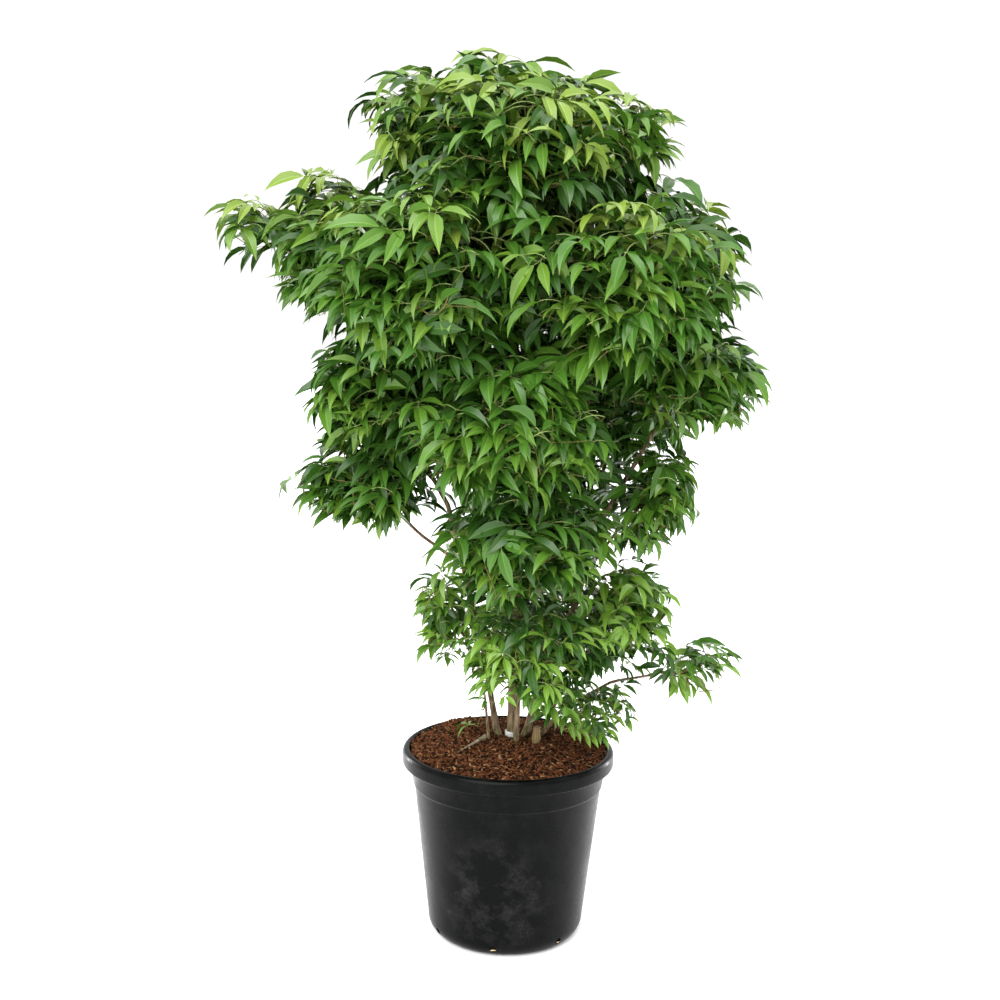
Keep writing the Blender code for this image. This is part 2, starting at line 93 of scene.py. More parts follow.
import bmesh
import bpy
import numpy as np
from mathutils import Matrix, Vector, noise
from mathutils.bvhtree import BVHTree

SEED = 11
UP = np.array((0.0, 0.0, 1.0))
dice = np.random.default_rng(SEED)

# %% [markdown]
# A few helpers serve the whole script. Colours are written as sRGB hex values, the way a
# paint chart gives them, and turned to the linear values that a shader takes. Every node is
# added by one function, which sets its properties and either fills or links its inputs.

# %% Helpers for colour, nodes and objects
def linear(code):
    """The linear colour of an sRGB hex value."""
    shares = [int(code[place:place + 2], 16) / 255 for place in (1, 3, 5)]
    return tuple(c / 12.92 if c <= 0.04045 else ((c + 0.055) / 1.055) ** 2.4 for c in shares) + (1.0,)


def add_node(tree, kind, inputs=(), **settings):
    """Add a node, set its properties, then fill or link its inputs.

    A kind without a prefix is a shader node. A node given as an input links its first output.
    """
    node = tree.nodes.new(kind if "Node" in kind else "ShaderNode" + kind)
    for name, value in settings.items():
        setattr(node, name, value)
    for socket, value in dict(inputs).items():
        if isinstance(value, bpy.types.Node):
            value = value.outputs[0]
        if isinstance(value, bpy.types.NodeSocket):
            tree.links.new(value, node.inputs[socket])
        else:
            node.inputs[socket].default_value = value
    return node


def new_material(name, colour, roughness, **values):
    """A Principled material, its node tree and its shader."""
    made = bpy.data.materials.new(name)
    made.use_nodes = True
    shader = made.node_tree.nodes["Principled BSDF"]
    shader.inputs["Base Color"].default_value = linear(colour)
    shader.inputs["Roughness"].default_value = roughness
    for socket, value in values.items():
        shader.inputs[socket.replace("_", " ")].default_value = value
    return made, made.node_tree, shader


def wire(tree, shader, **sources):
    """Link outputs to the shader's inputs, whose names have _ here for a space."""
    for socket, source in sources.items():
        tree.links.new(source, shader.inputs[socket.replace("_", " ")])


def new_object(name, mesh):
    made = bpy.data.objects.new(name, mesh)
    bpy.context.scene.collection.objects.link(made)
    return made


def mesh_from(name, points, faces, smooth=True):
    mesh = bpy.data.meshes.new(name)
    mesh.from_pydata([tuple(map(float, p)) for p in points], [], faces)
    mesh.update()
    if smooth:
        mesh.shade_smooth()
    return mesh


def merged(mesh, distance):
    """A bmesh of a mesh, with its doubled points merged."""
    shape = bmesh.new()
    shape.from_mesh(mesh)
    bmesh.ops.remove_doubles(shape, verts=shape.verts, dist=distance)
    return shape


def settle(guide, name):
    """A plain mesh object of what a guide's modifiers make. The guide is removed."""
    graph = bpy.context.evaluated_depsgraph_get()
    mesh = bpy.data.meshes.new_from_object(guide.evaluated_get(graph))
    mesh.name = name
    bpy.data.objects.remove(guide)
    return new_object(name, mesh)


def finish_piece(piece, slot, *replaced):
    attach(piece, "root")
    if replaced:
        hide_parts(*replaced)
    triangles = sum(len(face.vertices) - 2 for face in piece.data.polygons)
    print(f"{piece.name}: {triangles} triangles")


def unit(vector):
    return vector / max(np.linalg.norm(vector), 1e-9)

# %% [markdown]
# The camera stands in front of the pot at chest height and looks a little down, as the
# photographer did. Its place was worked out from the curves of the rim and of the foot. The
# light is a white tent: an even white world, a broad soft key from the upper left in front,
# a weaker one from above, two tall strips behind, and a pale floor past the picture's edges.

# %% Camera
CAMERA_PLACE = (0.0, -3.119, 1.478)
CAMERA_PITCH = 81.913
CAMERA_ROLL = 1.170
LENS = 49.04
SHIFT_X = -0.01335
SENSOR_WIDTH = 36.0

camera = bpy.data.objects.new("Camera", bpy.data.cameras.new("Camera"))
bpy.context.scene.collection.objects.link(camera)
camera.data.lens = LENS
camera.data.sensor_width = SENSOR_WIDTH
camera.data.shift_x = SHIFT_X
pitched = Matrix.Rotation(math.radians(CAMERA_PITCH), 4, "X")
rolled = Matrix.Rotation(math.radians(CAMERA_ROLL), 4, "Z")
camera.matrix_world = Matrix.Translation(CAMERA_PLACE) @ (pitched @ rolled)
bpy.context.scene.camera = camera
bpy.context.scene.view_settings.view_transform = "Standard"
print("camera at", CAMERA_PLACE)

# %% Light and floor
WORLD_STRENGTH = 1.08
FLOOR_SIZE = 60.0

world = bpy.data.worlds.new("White tent")
world.use_nodes = True
world.node_tree.nodes["Background"].inputs["Color"].default_value = (1.0, 1.0, 1.0, 1.0)
world.node_tree.nodes["Background"].inputs["Strength"].default_value = WORLD_STRENGTH
bpy.context.scene.world = world


def add_lamp(name, kind, place, facing, strength):
    """A lamp at a place, turned to shine along a direction."""
    lamp = bpy.data.lights.new(name, kind)
    lamp.energy = strength
    box = bpy.data.objects.new(name, lamp)
    box.location = place
    box.rotation_euler = facing.to_track_quat("-Z", "Y").to_euler()
    bpy.context.scene.collection.objects.link(box)
    return lamp


# Each soft light: its name, its place, the point it faces, its spread in degrees, its strength
SOFT_LIGHTS = (
    ("Key", (-1.5, -3.4, 4.0), (0.0, 0.0, 1.0), 50.0, 3.2),
    ("Top", (0.6, 0.8, 4.8), (0.0, 0.0, 1.2), 60.0, 1.6),
)
STRIP_PLACE = (2.6, 2.0, 0.9)
STRIP_WIDTH = 0.22
STRIP_HEIGHT = 1.8
STRIP_WATTS = 60.0

for name, place, target, spread, strength in SOFT_LIGHTS:
    lamp = add_lamp(name, "SUN", place, Vector(target) - Vector(place), strength)
    lamp.angle = math.radians(spread)
for name, side in (("Left strip", -1), ("Right strip", 1)):
    place = (side * STRIP_PLACE[0], STRIP_PLACE[1], STRIP_PLACE[2])
    lamp = add_lamp(name, "AREA", place, Vector((-place[0], -place[1], 0.0)), STRIP_WATTS)
    lamp.shape = "RECTANGLE"
    lamp.size = STRIP_WIDTH
    lamp.size_y = STRIP_HEIGHT

half = FLOOR_SIZE / 2
corners = [(-half, -half, 0), (half, -half, 0), (half, half, 0), (-half, half, 0)]
floor_mesh = mesh_from("Floor", corners, [(0, 1, 2, 3)])
floor = new_object("Floor", floor_mesh)
floor_paint, _, _ = new_material("White painted floor", "#FCFCFC", 0.9)
floor_mesh.materials.append(floor_paint)
floor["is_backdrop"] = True
print("floor:", FLOOR_SIZE, "m")

# %% [markdown]
# The pot is injection moulded from black polypropylene: a tapered wall 3 mm thick, a collar,
# a thick rolled rim and a rounded foot with seven drain holes. It is a turned shape, so a
# half section with the Screw modifier makes it. Its height and widths come from the frame.

# %% Pot section
pot_low, pot_high = (np.array(corner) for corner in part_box("Pot"))
POT_TOP = pot_high[2]
RIM_RADIUS = (pot_high[0] - pot_low[0]) / 2
WALL = 0.003
RIM_DEPTH = 0.036
RIM_ROLL = 0.011
RIM_LIP = 0.006
COLLAR_Z = 0.359
BASE_RADIUS = 0.1845
STEP_RADIUS = 0.2211
COLLAR_RADIUS = 0.2245
WALL_TOP_RADIUS = 0.2306
FOOT_RADIUS = 0.154
FOOT_EDGE_Z = 0.038
POT_SEGMENTS = 144


def arc(centre, radii, start, end, steps):
    """Points of an elliptical arc in the section plane, both ends included."""
    turns = np.radians(np.linspace(start, end, steps + 1))
    return [(centre[0] + radii[0] * math.cos(t), centre[1] + radii[1] * math.sin(t)) for t in turns]


def pot_section():
    """The wall's section: from the floor's middle inside, over the rim, to the middle underneath."""
    reach = BASE_RADIUS - FOOT_RADIUS
    skirt = POT_TOP - RIM_DEPTH
    inside = [(0.0, WALL)]
    inside += arc((FOOT_RADIUS - WALL, FOOT_EDGE_Z + WALL), (reach, FOOT_EDGE_Z), -90, 0, 6)
    inside += [(STEP_RADIUS - WALL, COLLAR_Z + 0.002), (WALL_TOP_RADIUS - WALL, skirt)]
    inside += [(RIM_RADIUS - RIM_ROLL - RIM_LIP, POT_TOP - RIM_LIP)]
    top = arc((RIM_RADIUS - RIM_ROLL, POT_TOP - RIM_LIP), (RIM_LIP, RIM_LIP), 180, 90, 4)
    top += arc((RIM_RADIUS - RIM_ROLL, POT_TOP - 2 * RIM_LIP), (RIM_ROLL, 2 * RIM_LIP), 84, 0, 7)
    outside = [(RIM_RADIUS, skirt + 0.010)]
    outside += arc((RIM_RADIUS - 0.004, skirt + 0.005), (0.004, 0.005), 0, -90, 4)
    outside += [(RIM_RADIUS - 0.0065, skirt + 0.0004), (RIM_RADIUS - 0.008, skirt + 0.004)]
    outside += [(WALL_TOP_RADIUS + 0.003, skirt + 0.003), (WALL_TOP_RADIUS + 0.0006, skirt - 0.001)]
    outside += [(COLLAR_RADIUS + 0.0004, COLLAR_Z + 0.006), (COLLAR_RADIUS, COLLAR_Z + 0.0035)]
    outside += [(STEP_RADIUS + 0.001, COLLAR_Z + 0.001), (STEP_RADIUS, COLLAR_Z - 0.002)]
    outside += arc((FOOT_RADIUS, FOOT_EDGE_Z), (reach, FOOT_EDGE_Z), 0, -90, 8)
    outside += [(0.0, 0.0)]
    return inside + top + outside


section = pot_section()
print("points in the pot's section:", len(section))

# %% Turn the pot and cut its drain holes
HOLE_COUNT = 7
HOLE_RADIUS = 0.008
HOLE_Z = 0.021
HOLE_FIRST_ANGLE = -98.0
HOLE_CENTRE_RADIUS = 0.176
HOLE_LENGTH = 0.030
HOLE_SIDES = 20
POT_MERGE = 0.00002
SHARP_ANGLE = 40

pot_mesh = bpy.data.meshes.new("Pot section")
pot_mesh.from_pydata([(r, 0.0, z) for r, z in section], [(i, i + 1) for i in range(len(section) - 1)], [])
pot_guide = new_object("Pot guide", pot_mesh)
screw = pot_guide.modifiers.new("Turn", "SCREW")
screw.steps = screw.render_steps = POT_SEGMENTS
screw.use_merge_vertices = True
screw.merge_threshold = POT_MERGE
screw.use_normal_calculate = True
pot = settle(pot_guide, "Pot_Body")


def hole_way(number):
    """The angle of a drain hole about the pot's axis, and the way out through it."""
    turn = math.radians(HOLE_FIRST_ANGLE + number * 360 / HOLE_COUNT)
    return turn, Vector((math.cos(turn), math.sin(turn), 0.0))


cutters = bmesh.new()
for number in range(HOLE_COUNT):
    _, out = hole_way(number)
    place = Matrix.Translation(out * HOLE_CENTRE_RADIUS + Vector((0, 0, HOLE_Z)))
    aimed = place @ out.to_track_quat("Z", "Y").to_matrix().to_4x4()
    bmesh.ops.create_cone(cutters, cap_ends=True, segments=HOLE_SIDES, radius1=HOLE_RADIUS,
                          radius2=HOLE_RADIUS, depth=HOLE_LENGTH * 2, matrix=aimed)
cutter_mesh = bpy.data.meshes.new("Hole cutters")
cutters.to_mesh(cutter_mesh)
cutters.free()
cutter = new_object("Hole cutters", cutter_mesh)
walls = merged(pot.data, POT_MERGE)
bmesh.ops.recalc_face_normals(walls, faces=walls.faces)
walls.to_mesh(pot.data)
walls.free()
cut = pot.modifiers.new("Drain holes", "BOOLEAN")
cut.object = cutter
cut.solver = "EXACT"
pot = settle(pot, "Pot_Body")
bpy.data.objects.remove(cutter)
pot.data.shade_smooth()
pot.data.set_sharp_from_angle(angle=math.radians(SHARP_ANGLE))
print("drain holes:", HOLE_COUNT)

# %% [markdown]
# Black polypropylene has an IOR of about 1.49 and a fine satin skin. Years in a nursery
# leave grey dust in patches, thin scratches from being dragged, and a dull bloom, so the
# colour and the roughness both follow noise at the scale of those marks.

# %% Black polypropylene
SCUFF_PLACE = (-0.035, -0.205, 0.15)
SCUFF_INNER = 0.04
SCUFF_OUTER = 0.16

black, tree, shader = new_material("Black moulded polypropylene", "#0C0D0E", 0.42, IOR=1.49,
                                   Specular_IOR_Level=0.08)
place = add_node(tree, "TexCoord").outputs["Object"]
dust = add_node(tree, "TexNoise", {"Vector": place, "Scale": 14.0, "Detail": 8.0, "Roughness": 0.7})
bent = add_node(tree, "TexNoise", {"Vector": place, "Scale": 30.0, "Detail": 3.0})
drift = add_node(tree, "VectorMath", {0: bent.outputs["Color"], 3: 0.03}, operation="SCALE")
shifted = add_node(tree, "VectorMath", {0: place, 1: drift}, operation="ADD")
scratches = add_node(tree, "TexVoronoi", {"Vector": shifted, "Scale": 55.0}, feature="DISTANCE_TO_EDGE")
scuffed = add_node(tree, "VectorMath", {0: place, 1: SCUFF_PLACE}, operation="DISTANCE")
near = add_node(tree, "MapRange", {
    "Value": scuffed.outputs["Value"], 1: SCUFF_INNER, 2: SCUFF_OUTER, 3: 1.0, 4: 0.16})
marks = add_node(tree, "MapRange", {"Value": scratches, 1: 0.012, 2: 0.045, 3: 1.0, 4: 0.0})
patches = add_node(tree, "MapRange", {"Value": dust, 1: 0.46, 2: 0.74, 3: 0.0, 4: 1.0})
broken = add_node(tree, "Math", {0: marks, 1: patches}, operation="MULTIPLY")
faint = add_node(tree, "Math", {0: patches, 1: 0.35}, operation="MULTIPLY")
both = add_node(tree, "Math", {0: broken, 1: faint}, operation="MAXIMUM")
worn = add_node(tree, "Math", {0: both, 1: near}, operation="MULTIPLY")
colour = add_node(tree, "Mix", {
    0: worn, "A": linear("#040505"), "B": linear("#4A4B49")}, data_type="RGBA")
gloss = add_node(tree, "MapRange", {"Value": dust, 1: 0.3, 2: 0.7, 3: 0.20, 4: 0.38})
grain = add_node(tree, "TexNoise", {"Vector": place, "Scale": 900.0, "Detail": 2.0})
bump = add_node(tree, "Bump", {"Height": grain, "Strength": 0.06, "Distance": 0.0004})
wire(tree, shader, Base_Color=colour.outputs["Result"], Roughness=gloss.outputs[0], Normal=bump.outputs[0])
pot.data.materials.clear()
pot.data.materials.append(black)
finish_piece(pot, "pot_plastic", "Pot")

# %% [markdown]
# The pot is filled to a dome with shredded bark. The solid from the frame stays as the ground
# under it, painted dark as the shade between the chips, and Geometry Nodes strew it with chips:
# points spread over the top faces, one of six torn chip shapes on each, turned and sized at
# random, in three shades.

# %% Bark chip shapes
CHIP_SHAPES = 6
CHIP_LENGTH = 0.021
CHIP_WIDTH = 0.0072
CHIP_THICKNESS = 0.0030


def chip_mesh(name, rng):
    """A torn sliver: four cross-sections along a bent line, pointed at one end."""
    points = []
    bend = rng.uniform(-0.25, 0.25)
    widths = (0.45, 1.0, 0.85, 0.25)
    for step, width in enumerate(widths):
        along = (step / 3 - 0.5) * CHIP_LENGTH
        side = bend * CHIP_WIDTH * math.sin(step * 1.3) + rng.uniform(-0.1, 0.1) * CHIP_WIDTH
        across = width * CHIP_WIDTH * rng.uniform(0.75, 1.2) / 2
        high = CHIP_THICKNESS * rng.uniform(0.6, 1.1) / 2
        points += [(side - across, along, -high), (side + across, along, -high * 0.7),
                   (side + across * 0.8, along, high), (side - across * 0.9, along, high * 0.6)]
    faces = [(3, 2, 1, 0), (12, 13, 14, 15)]
    for ring in range(3):
        for side in range(4):
            a = ring * 4 + side
            b = ring * 4 + (side + 1) % 4
            faces.append((a, b, b + 4, a + 4))
    return mesh_from(name, points, faces, smooth=False)


def shape_collection(name, meshes):
    """Shapes to place, in a collection that no scene shows."""
    group = bpy.data.collections.new(name)
    for number, mesh in enumerate(meshes):
        group.objects.link(bpy.data.objects.new(f"{name} {number:02d}", mesh))
    return group


chips = shape_collection("Chip", [chip_mesh(f"Chip {n}", dice) for n in range(CHIP_SHAPES)])

# %% Geometry Nodes that strew chips
def new_tree(name, inputs):
    """A Geometry Nodes tree with a geometry in and out and some named inputs."""
    tree = bpy.data.node_groups.new(name, "GeometryNodeTree")
    tree.interface.new_socket(name="Geometry", in_out="INPUT", socket_type="NodeSocketGeometry")
    for title, kind in inputs:
        tree.interface.new_socket(name=title, in_out="INPUT", socket_type=kind)
    tree.interface.new_socket(name="Geometry", in_out="OUTPUT", socket_type="NodeSocketGeometry")
    return tree, tree.nodes.new("NodeGroupInput"), tree.nodes.new("NodeGroupOutput")


def add_nodes_modifier(guide, tree, values):
    """Put a tree on an object and set its named inputs by their identifiers."""
    modifier = guide.modifiers.new(tree.name, "NODES")
    modifier.node_group = tree
    for item in tree.interface.items_tree:
        if item.in_out == "INPUT" and item.name in values:
            modifier[item.identifier] = values[item.name]


def set_shapes(tree, given, result, points, index, turn, scale):
    """The end of a tree: a shape of the collection on each point, made real and painted."""
    shapes = add_node(tree, "GeometryNodeCollectionInfo", {
        "Collection": given.outputs["Shapes"], "Separate Children": True, "Reset Children": True})
    put = add_node(tree, "GeometryNodeInstanceOnPoints", {
        "Points": points, "Instance": shapes, "Pick Instance": True,
        "Instance Index": index, "Rotation": turn, "Scale": scale})
    real = add_node(tree, "GeometryNodeRealizeInstances", {"Geometry": put})
    painted = add_node(tree, "GeometryNodeSetMaterial", {
        "Geometry": real, "Material": given.outputs["Material"]})
    tree.links.new(painted.outputs[0], result.inputs[0])


strew, given, result = new_tree("Strew chips", (
    ("Shapes", "NodeSocketCollection"), ("Chips per square metre", "NodeSocketFloat"),
    ("Smallest", "NodeSocketFloat"), ("Largest", "NodeSocketFloat"), ("Tilt", "NodeSocketFloat"),
    ("Seed", "NodeSocketInt"), ("Material", "NodeSocketMaterial")))
spread = add_node(strew, "GeometryNodeDistributePointsOnFaces", {
    "Mesh": given.outputs["Geometry"], "Density": given.outputs["Chips per square metre"],
    "Seed": given.outputs["Seed"]}, distribute_method="RANDOM")
least = add_node(strew, "CombineXYZ", {"Z": 0.0})
tilt_down = add_node(strew, "Math", {0: given.outputs["Tilt"], 1: -1.0}, operation="MULTIPLY")
for axis in ("X", "Y"):
    strew.links.new(tilt_down.outputs[0], least.inputs[axis])
most = add_node(strew, "CombineXYZ", {
    "X": given.outputs["Tilt"], "Y": given.outputs["Tilt"], "Z": math.tau})
turns = add_node(strew, "FunctionNodeRandomValue", {
    0: least, 1: most, "Seed": given.outputs["Seed"]}, data_type="FLOAT_VECTOR")
sizes = add_node(strew, "FunctionNodeRandomValue", {
    2: given.outputs["Smallest"], 3: given.outputs["Largest"],
    "Seed": given.outputs["Seed"]}, data_type="FLOAT")
picks = add_node(strew, "FunctionNodeRandomValue", {
    4: 0, 5: CHIP_SHAPES - 1, "Seed": given.outputs["Seed"]}, data_type="INT")
set_shapes(strew, given, result, spread.outputs["Points"], picks.outputs[2],
           turns.outputs[0], sizes.outputs[1])
print("nodes in the chip tree:", len(strew.nodes))

# %% [markdown]
# Conifer bark is tan to red-brown inside and nearly black where it was the outside of the
# tree. It is dull and fibrous, with a roughness near 0.9 and fibres about 1 mm apart. The
# ground under the chips is the same bark, painted near black as the shade in the gaps between
# the chips. Two pale chips have been washed down and lie in the drain holes at the front.

# %% Bark mulch
def bark_chip(name, dark, light):
    """Torn conifer bark: two shades in streaks, with a fibrous surface."""
    made, tree, shader = new_material(name, dark, 0.9, Specular_IOR_Level=0.10)
    place = add_node(tree, "TexCoord").outputs["Object"]
    shade = add_node(tree, "TexNoise", {
        "Vector": place, "Scale": 160.0, "Detail": 5.0, "Roughness": 0.65})
    share = add_node(tree, "MapRange", {"Value": shade, 1: 0.36, 2: 0.66, 3: 0.0, 4: 1.0})
    colour = add_node(tree, "Mix", {0: share, "A": linear(dark), "B": linear(light)}, data_type="RGBA")
    fibre = add_node(tree, "TexNoise", {"Vector": place, "Scale": 900.0, "Detail": 3.0})
    bump = add_node(tree, "Bump", {"Height": fibre, "Strength": 0.6, "Distance": 0.0008})
    wire(tree, shader, Base_Color=colour.outputs["Result"], Normal=bump.outputs[0])
    return made


CAD_MERGE = 0.00001
TOP_FACING = 0.35
CHIP_LIFT = 0.0008
mulch_faces = merged(nodes["Mulch"].data, CAD_MERGE)
steep = [face for face in mulch_faces.faces if face.normal.z < TOP_FACING]
bmesh.ops.delete(mulch_faces, geom=steep, context="FACES")
mulch_top = bpy.data.meshes.new("Mulch top")
mulch_faces.to_mesh(mulch_top)
mulch_faces.free()
mulch_top.transform(Matrix.Translation((0.0, 0.0, CHIP_LIFT)))

# Each kind: its piece, dark and light shade, chips per square metre, smallest, largest, tilt, seed
CHIP_KINDS = (
    ("Mulch_Chips_Red", ("#351C0D", "#73452A"), 14000.0, 0.45, 1.15, 0.75, 3),
    ("Mulch_Chips_Dark", ("#120803", "#34200F"), 8000.0, 0.4, 1.0, 0.6, 5),
    ("Mulch_Chips_Tan", ("#66432A", "#9E7A55"), 4600.0, 0.3, 0.9, 0.75, 8),
)
for name, shades, density, smallest, largest, tilt, seed in CHIP_KINDS:
    guide = new_object(name + " guide", mulch_top.copy())
    add_nodes_modifier(guide, strew, {
        "Shapes": chips, "Chips per square metre": density, "Smallest": smallest, "Largest": largest,
        "Tilt": tilt, "Seed": seed, "Material": bark_chip(name.replace("_", " "), *shades)})
    finish_piece(settle(guide, name), "mulch")
# The ground under the chips is painted near black: painted shade in the gaps between them.
nodes["Mulch"].data.materials.clear()
nodes["Mulch"].data.materials.append(bark_chip("Ground bark in painted shade", "#0E0603", "#2C180D"))

# %% Two chips lodged in the drain holes
LODGED = ((0, 0.62), (1, 0.45))  # number of the hole, size of its chip
LODGED_RADIUS = 0.181
LODGED_DROP = 0.002
LODGED_TWIST = 0.2
lodged_dice = np.random.default_rng(SEED + 1)
lodged_points = []
lodged_faces = []
for number, scale in LODGED:
    turn, out = hole_way(number)
    place = Matrix.Translation(out * LODGED_RADIUS + Vector((0, 0, HOLE_Z - LODGED_DROP)))
    chip = chip_mesh("Lodged chip", lodged_dice)
    chip.transform(place @ Matrix.Rotation(turn + LODGED_TWIST, 4, "Z") @ Matrix.Scale(scale, 4))
    first = len(lodged_points)
    lodged_points += [tuple(v.co) for v in chip.vertices]
    lodged_faces += [tuple(first + index for index in face.vertices) for face in chip.polygons]
    bpy.data.meshes.remove(chip)
lodged = new_object("Lodged_Chips", mesh_from("Lodged_Chips", lodged_points, lodged_faces, smooth=False))
lodged.data.materials.append(bark_chip("Pale bark chip", "#B39C70", "#DCCBA2"))
finish_piece(lodged, "mulch")

# %% [markdown]
# The limbs come from the frame's own stems and boughs. Each of those is a plain tube, so
# its middle line and its radius are read by slicing it across its long axis. The new limb
# follows that line with bark relief, and the branching below starts from its points.

# %% Read the middle line of a limb
END_GAP = 0.0015
LIMB_SPACING = 0.02


def middle_line(name, spacing):
    """Centres and radii of a tube's slices, from its lower end to its upper end."""
    mesh = nodes[name].data
    points = np.array([v.co for v in mesh.vertices], float)
    edges = np.array([e.vertices for e in mesh.edges], int)
    middle = points.mean(0)
    _, _, axes = np.linalg.svd(points - middle)
    axis = axes[0] if axes[0][2] > 0 else -axes[0]
    along = (points - middle) @ axis
    low, high = along.min(), along.max()
    steps = max(4, int((high - low) / spacing))
    centres = []
    radii = []
    for level in np.linspace(low + END_GAP, high - END_GAP, steps + 1):
        a = along[edges[:, 0]] - level
        b = along[edges[:, 1]] - level
        crossing = a * b < 0
        share = (a[crossing] / (a[crossing] - b[crossing]))[:, None]
        hits = points[edges[crossing, 0]] * (1 - share) + points[edges[crossing, 1]] * share
        centre = (hits.min(0) + hits.max(0)) / 2
        centres.append(centre)
        radii.append(np.linalg.norm(hits - centre, axis=1).mean())
    return np.array(centres), np.array(radii)


STEM_NAMES = sorted(name for name in nodes if name.startswith("Stem_") and name != "Stem_Tie")
BOUGH_NAMES = sorted(name for name in nodes if name.startswith("Bough_"))
MASS_NAMES = sorted(name for name in nodes if name.startswith("Foliage_"))
limbs = {name: middle_line(name, LIMB_SPACING) for name in STEM_NAMES + BOUGH_NAMES}
print("stems:", len(STEM_NAMES), "boughs:", len(BOUGH_NAMES), "masses:", len(MASS_NAMES))

# %% [markdown]
# The crown grows by a simple rule. Each mass gets aims: points up to 15 cm inside its
# surface, none too close to another. A leader carries each limb on into its mass, and from
# the aim nearest to it outwards each aim is joined to the best point grown so far by one
# curved twig, which leaves along the limb and ends turned up and out. Twigs can fork from
# twigs, so the rule makes boughs, branches and twigs in one go. The shaded core between the
# masses gets aims too. Elsewhere nothing grows, so the openings between masses stay open.

# %% Masses as closed surfaces
def mass_tree(name):
    shape = merged(nodes[name].data, CAD_MERGE)
    tree = BVHTree.FromBMesh(shape)
    shape.free()
    return tree


trees = {name: mass_tree(name) for name in MASS_NAMES}
boxes = {name: tuple(np.array(corner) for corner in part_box(name)) for name in MASS_NAMES}
centres = {name: (boxes[name][0] + boxes[name][1]) / 2 for name in MASS_NAMES}
halves = {name: (boxes[name][1] - boxes[name][0]) / 2 for name in MASS_NAMES}


def depth_in(name, point):
    """How far a point is inside a mass, negative outside, and the nearest point of its surface."""
    near, normal, _, distance = trees[name].find_nearest(Vector(point))
    inside = (Vector(point) - near).dot(normal) < 0
    return (distance if inside else -distance), np.array(near), np.array(normal)


def crown_depth(point, reach):
    """How far a point is inside the crown, or how far outside it within reach."""
    best = -reach
    for name in MASS_NAMES:
        low, high = boxes[name]
        if np.any(point < low - reach) or np.any(point > high + reach):
            continue
        best = max(best, depth_in(name, point)[0])
        if best > 0:
            break
    return best


CORE_HEIGHTS = (0.60, 0.78, 1.00, 1.20, 1.50, 1.68, 1.76)
CORE_RADII = (0.0, 0.11, 0.18, 0.26, 0.30, 0.22, 0.0)
CORE_LOW = np.array((-0.30, -0.30, 0.60))
CORE_HIGH = np.array((0.30, 0.30, 1.76))


def core_depth(point):
    """How far a point is inside the shaded core between the masses, negative outside it."""
    return float(np.interp(point[2], CORE_HEIGHTS, CORE_RADII)) - math.hypot(point[0], point[1])


print("crown depth in a front mass:", round(crown_depth(np.array((0.2, -0.35, 1.5)), 0.1), 3))

# %% Aims inside each mass
AIM_SPACING = 0.060
AIM_INSET = 0.022
AIM_DEPTH = 0.15
HIDDEN_SHARE = 0.75
TRIES = 2600
CORE_SPACING = 0.085
LOW_SPACING = 0.050
LOW_MASS = 0.90
LOOK_AHEAD = 0.05
SMALL_MASS = 0.15


def facing_out(near, normal, own):
    """True where the surface looks out of the crown and not into a neighbouring mass."""
    beyond = near + normal * LOOK_AHEAD
    return all(depth_in(name, beyond)[0] < 0 for name in MASS_NAMES
               if name != own and np.all(beyond > boxes[name][0]) and np.all(beyond < boxes[name][1]))


def aims_for(name):
    """Points inside a mass near its surface, no two closer than the spacing."""
    low, high = boxes[name]
    small = min(1.0, halves[name].min() / SMALL_MASS)
    spacing = LOW_SPACING if centres[name][2] < LOW_MASS else AIM_SPACING
    kept = []
    for _ in range(TRIES):
        point = dice.uniform(low, high)
        depth, near, normal = depth_in(name, point)
        if not AIM_INSET * small < depth < AIM_DEPTH:
            continue
        if any(np.linalg.norm(point - other[0]) < spacing * max(small, 0.8) for other in kept):
            continue
        outer = facing_out(near, normal, name)
        if outer or dice.random() < HIDDEN_SHARE:
            kept.append((point, normal, outer))
    return kept


def core_aims():
    """Points in the shaded core, where thin inner twigs carry dark leaves."""
    kept = []
    for _ in range(TRIES):
        point = dice.uniform(CORE_LOW, CORE_HIGH)
        crowded = any(np.linalg.norm(point - other[0]) < CORE_SPACING for other in kept)
        if crowded or core_depth(point) < 0.0:
            continue
        kept.append((point, unit(np.array((point[0], point[1], 0.0))), False))
    return kept


aims = {name: aims_for(name) for name in MASS_NAMES}
aims["core"] = core_aims()
print("aims:", sum(len(found) for found in aims.values()))

# %% Grow leaders and twigs
TWIG_STEP = 0.022
TURN_COST = 0.55
WOBBLE = 0.0016
LEAVE_REACH = 0.38
ARRIVE_REACH = 0.30
NEAREST_POINTS = 12
place_of = []
way_of = []
parent_of = []
mass_of = []
chains = []


def add_point(point, way, parent, mass):
    place_of.append(np.array(point))
    way_of.append(unit(np.array(way)))
    parent_of.append(parent)
    mass_of.append(mass)
    return len(place_of) - 1


def grow_curve(start, goal, end_way, mass, outer):
    """A curved twig from a grown point to a goal, as a chain of points."""
    p0 = place_of[start]
    span = goal - p0
    length = np.linalg.norm(span)
    leave = unit(way_of[start] * 0.55 + unit(span) * 0.75)
    p1 = p0 + leave * length * LEAVE_REACH
    p2 = goal - unit(end_way) * length * ARRIVE_REACH
    steps = max(3, int(round(length / TWIG_STEP)))
    chain = [start]
    for step in range(1, steps + 1):
        t = step / steps
        point = ((1 - t) ** 3 * p0 + 3 * (1 - t) ** 2 * t * p1 + 3 * (1 - t) * t ** 2 * p2 + t ** 3 * goal)
        wobble = dice.normal(0.0, WOBBLE, 3) if step < steps else 0.0
        chain.append(add_point(point + wobble, point - place_of[chain[-1]], chain[-1], mass))
    chains.append({"points": chain, "mass": mass, "outer": outer, "length": length})


def nearest_mass(point):
    return max(MASS_NAMES, key=lambda name: depth_in(name, point)[0])


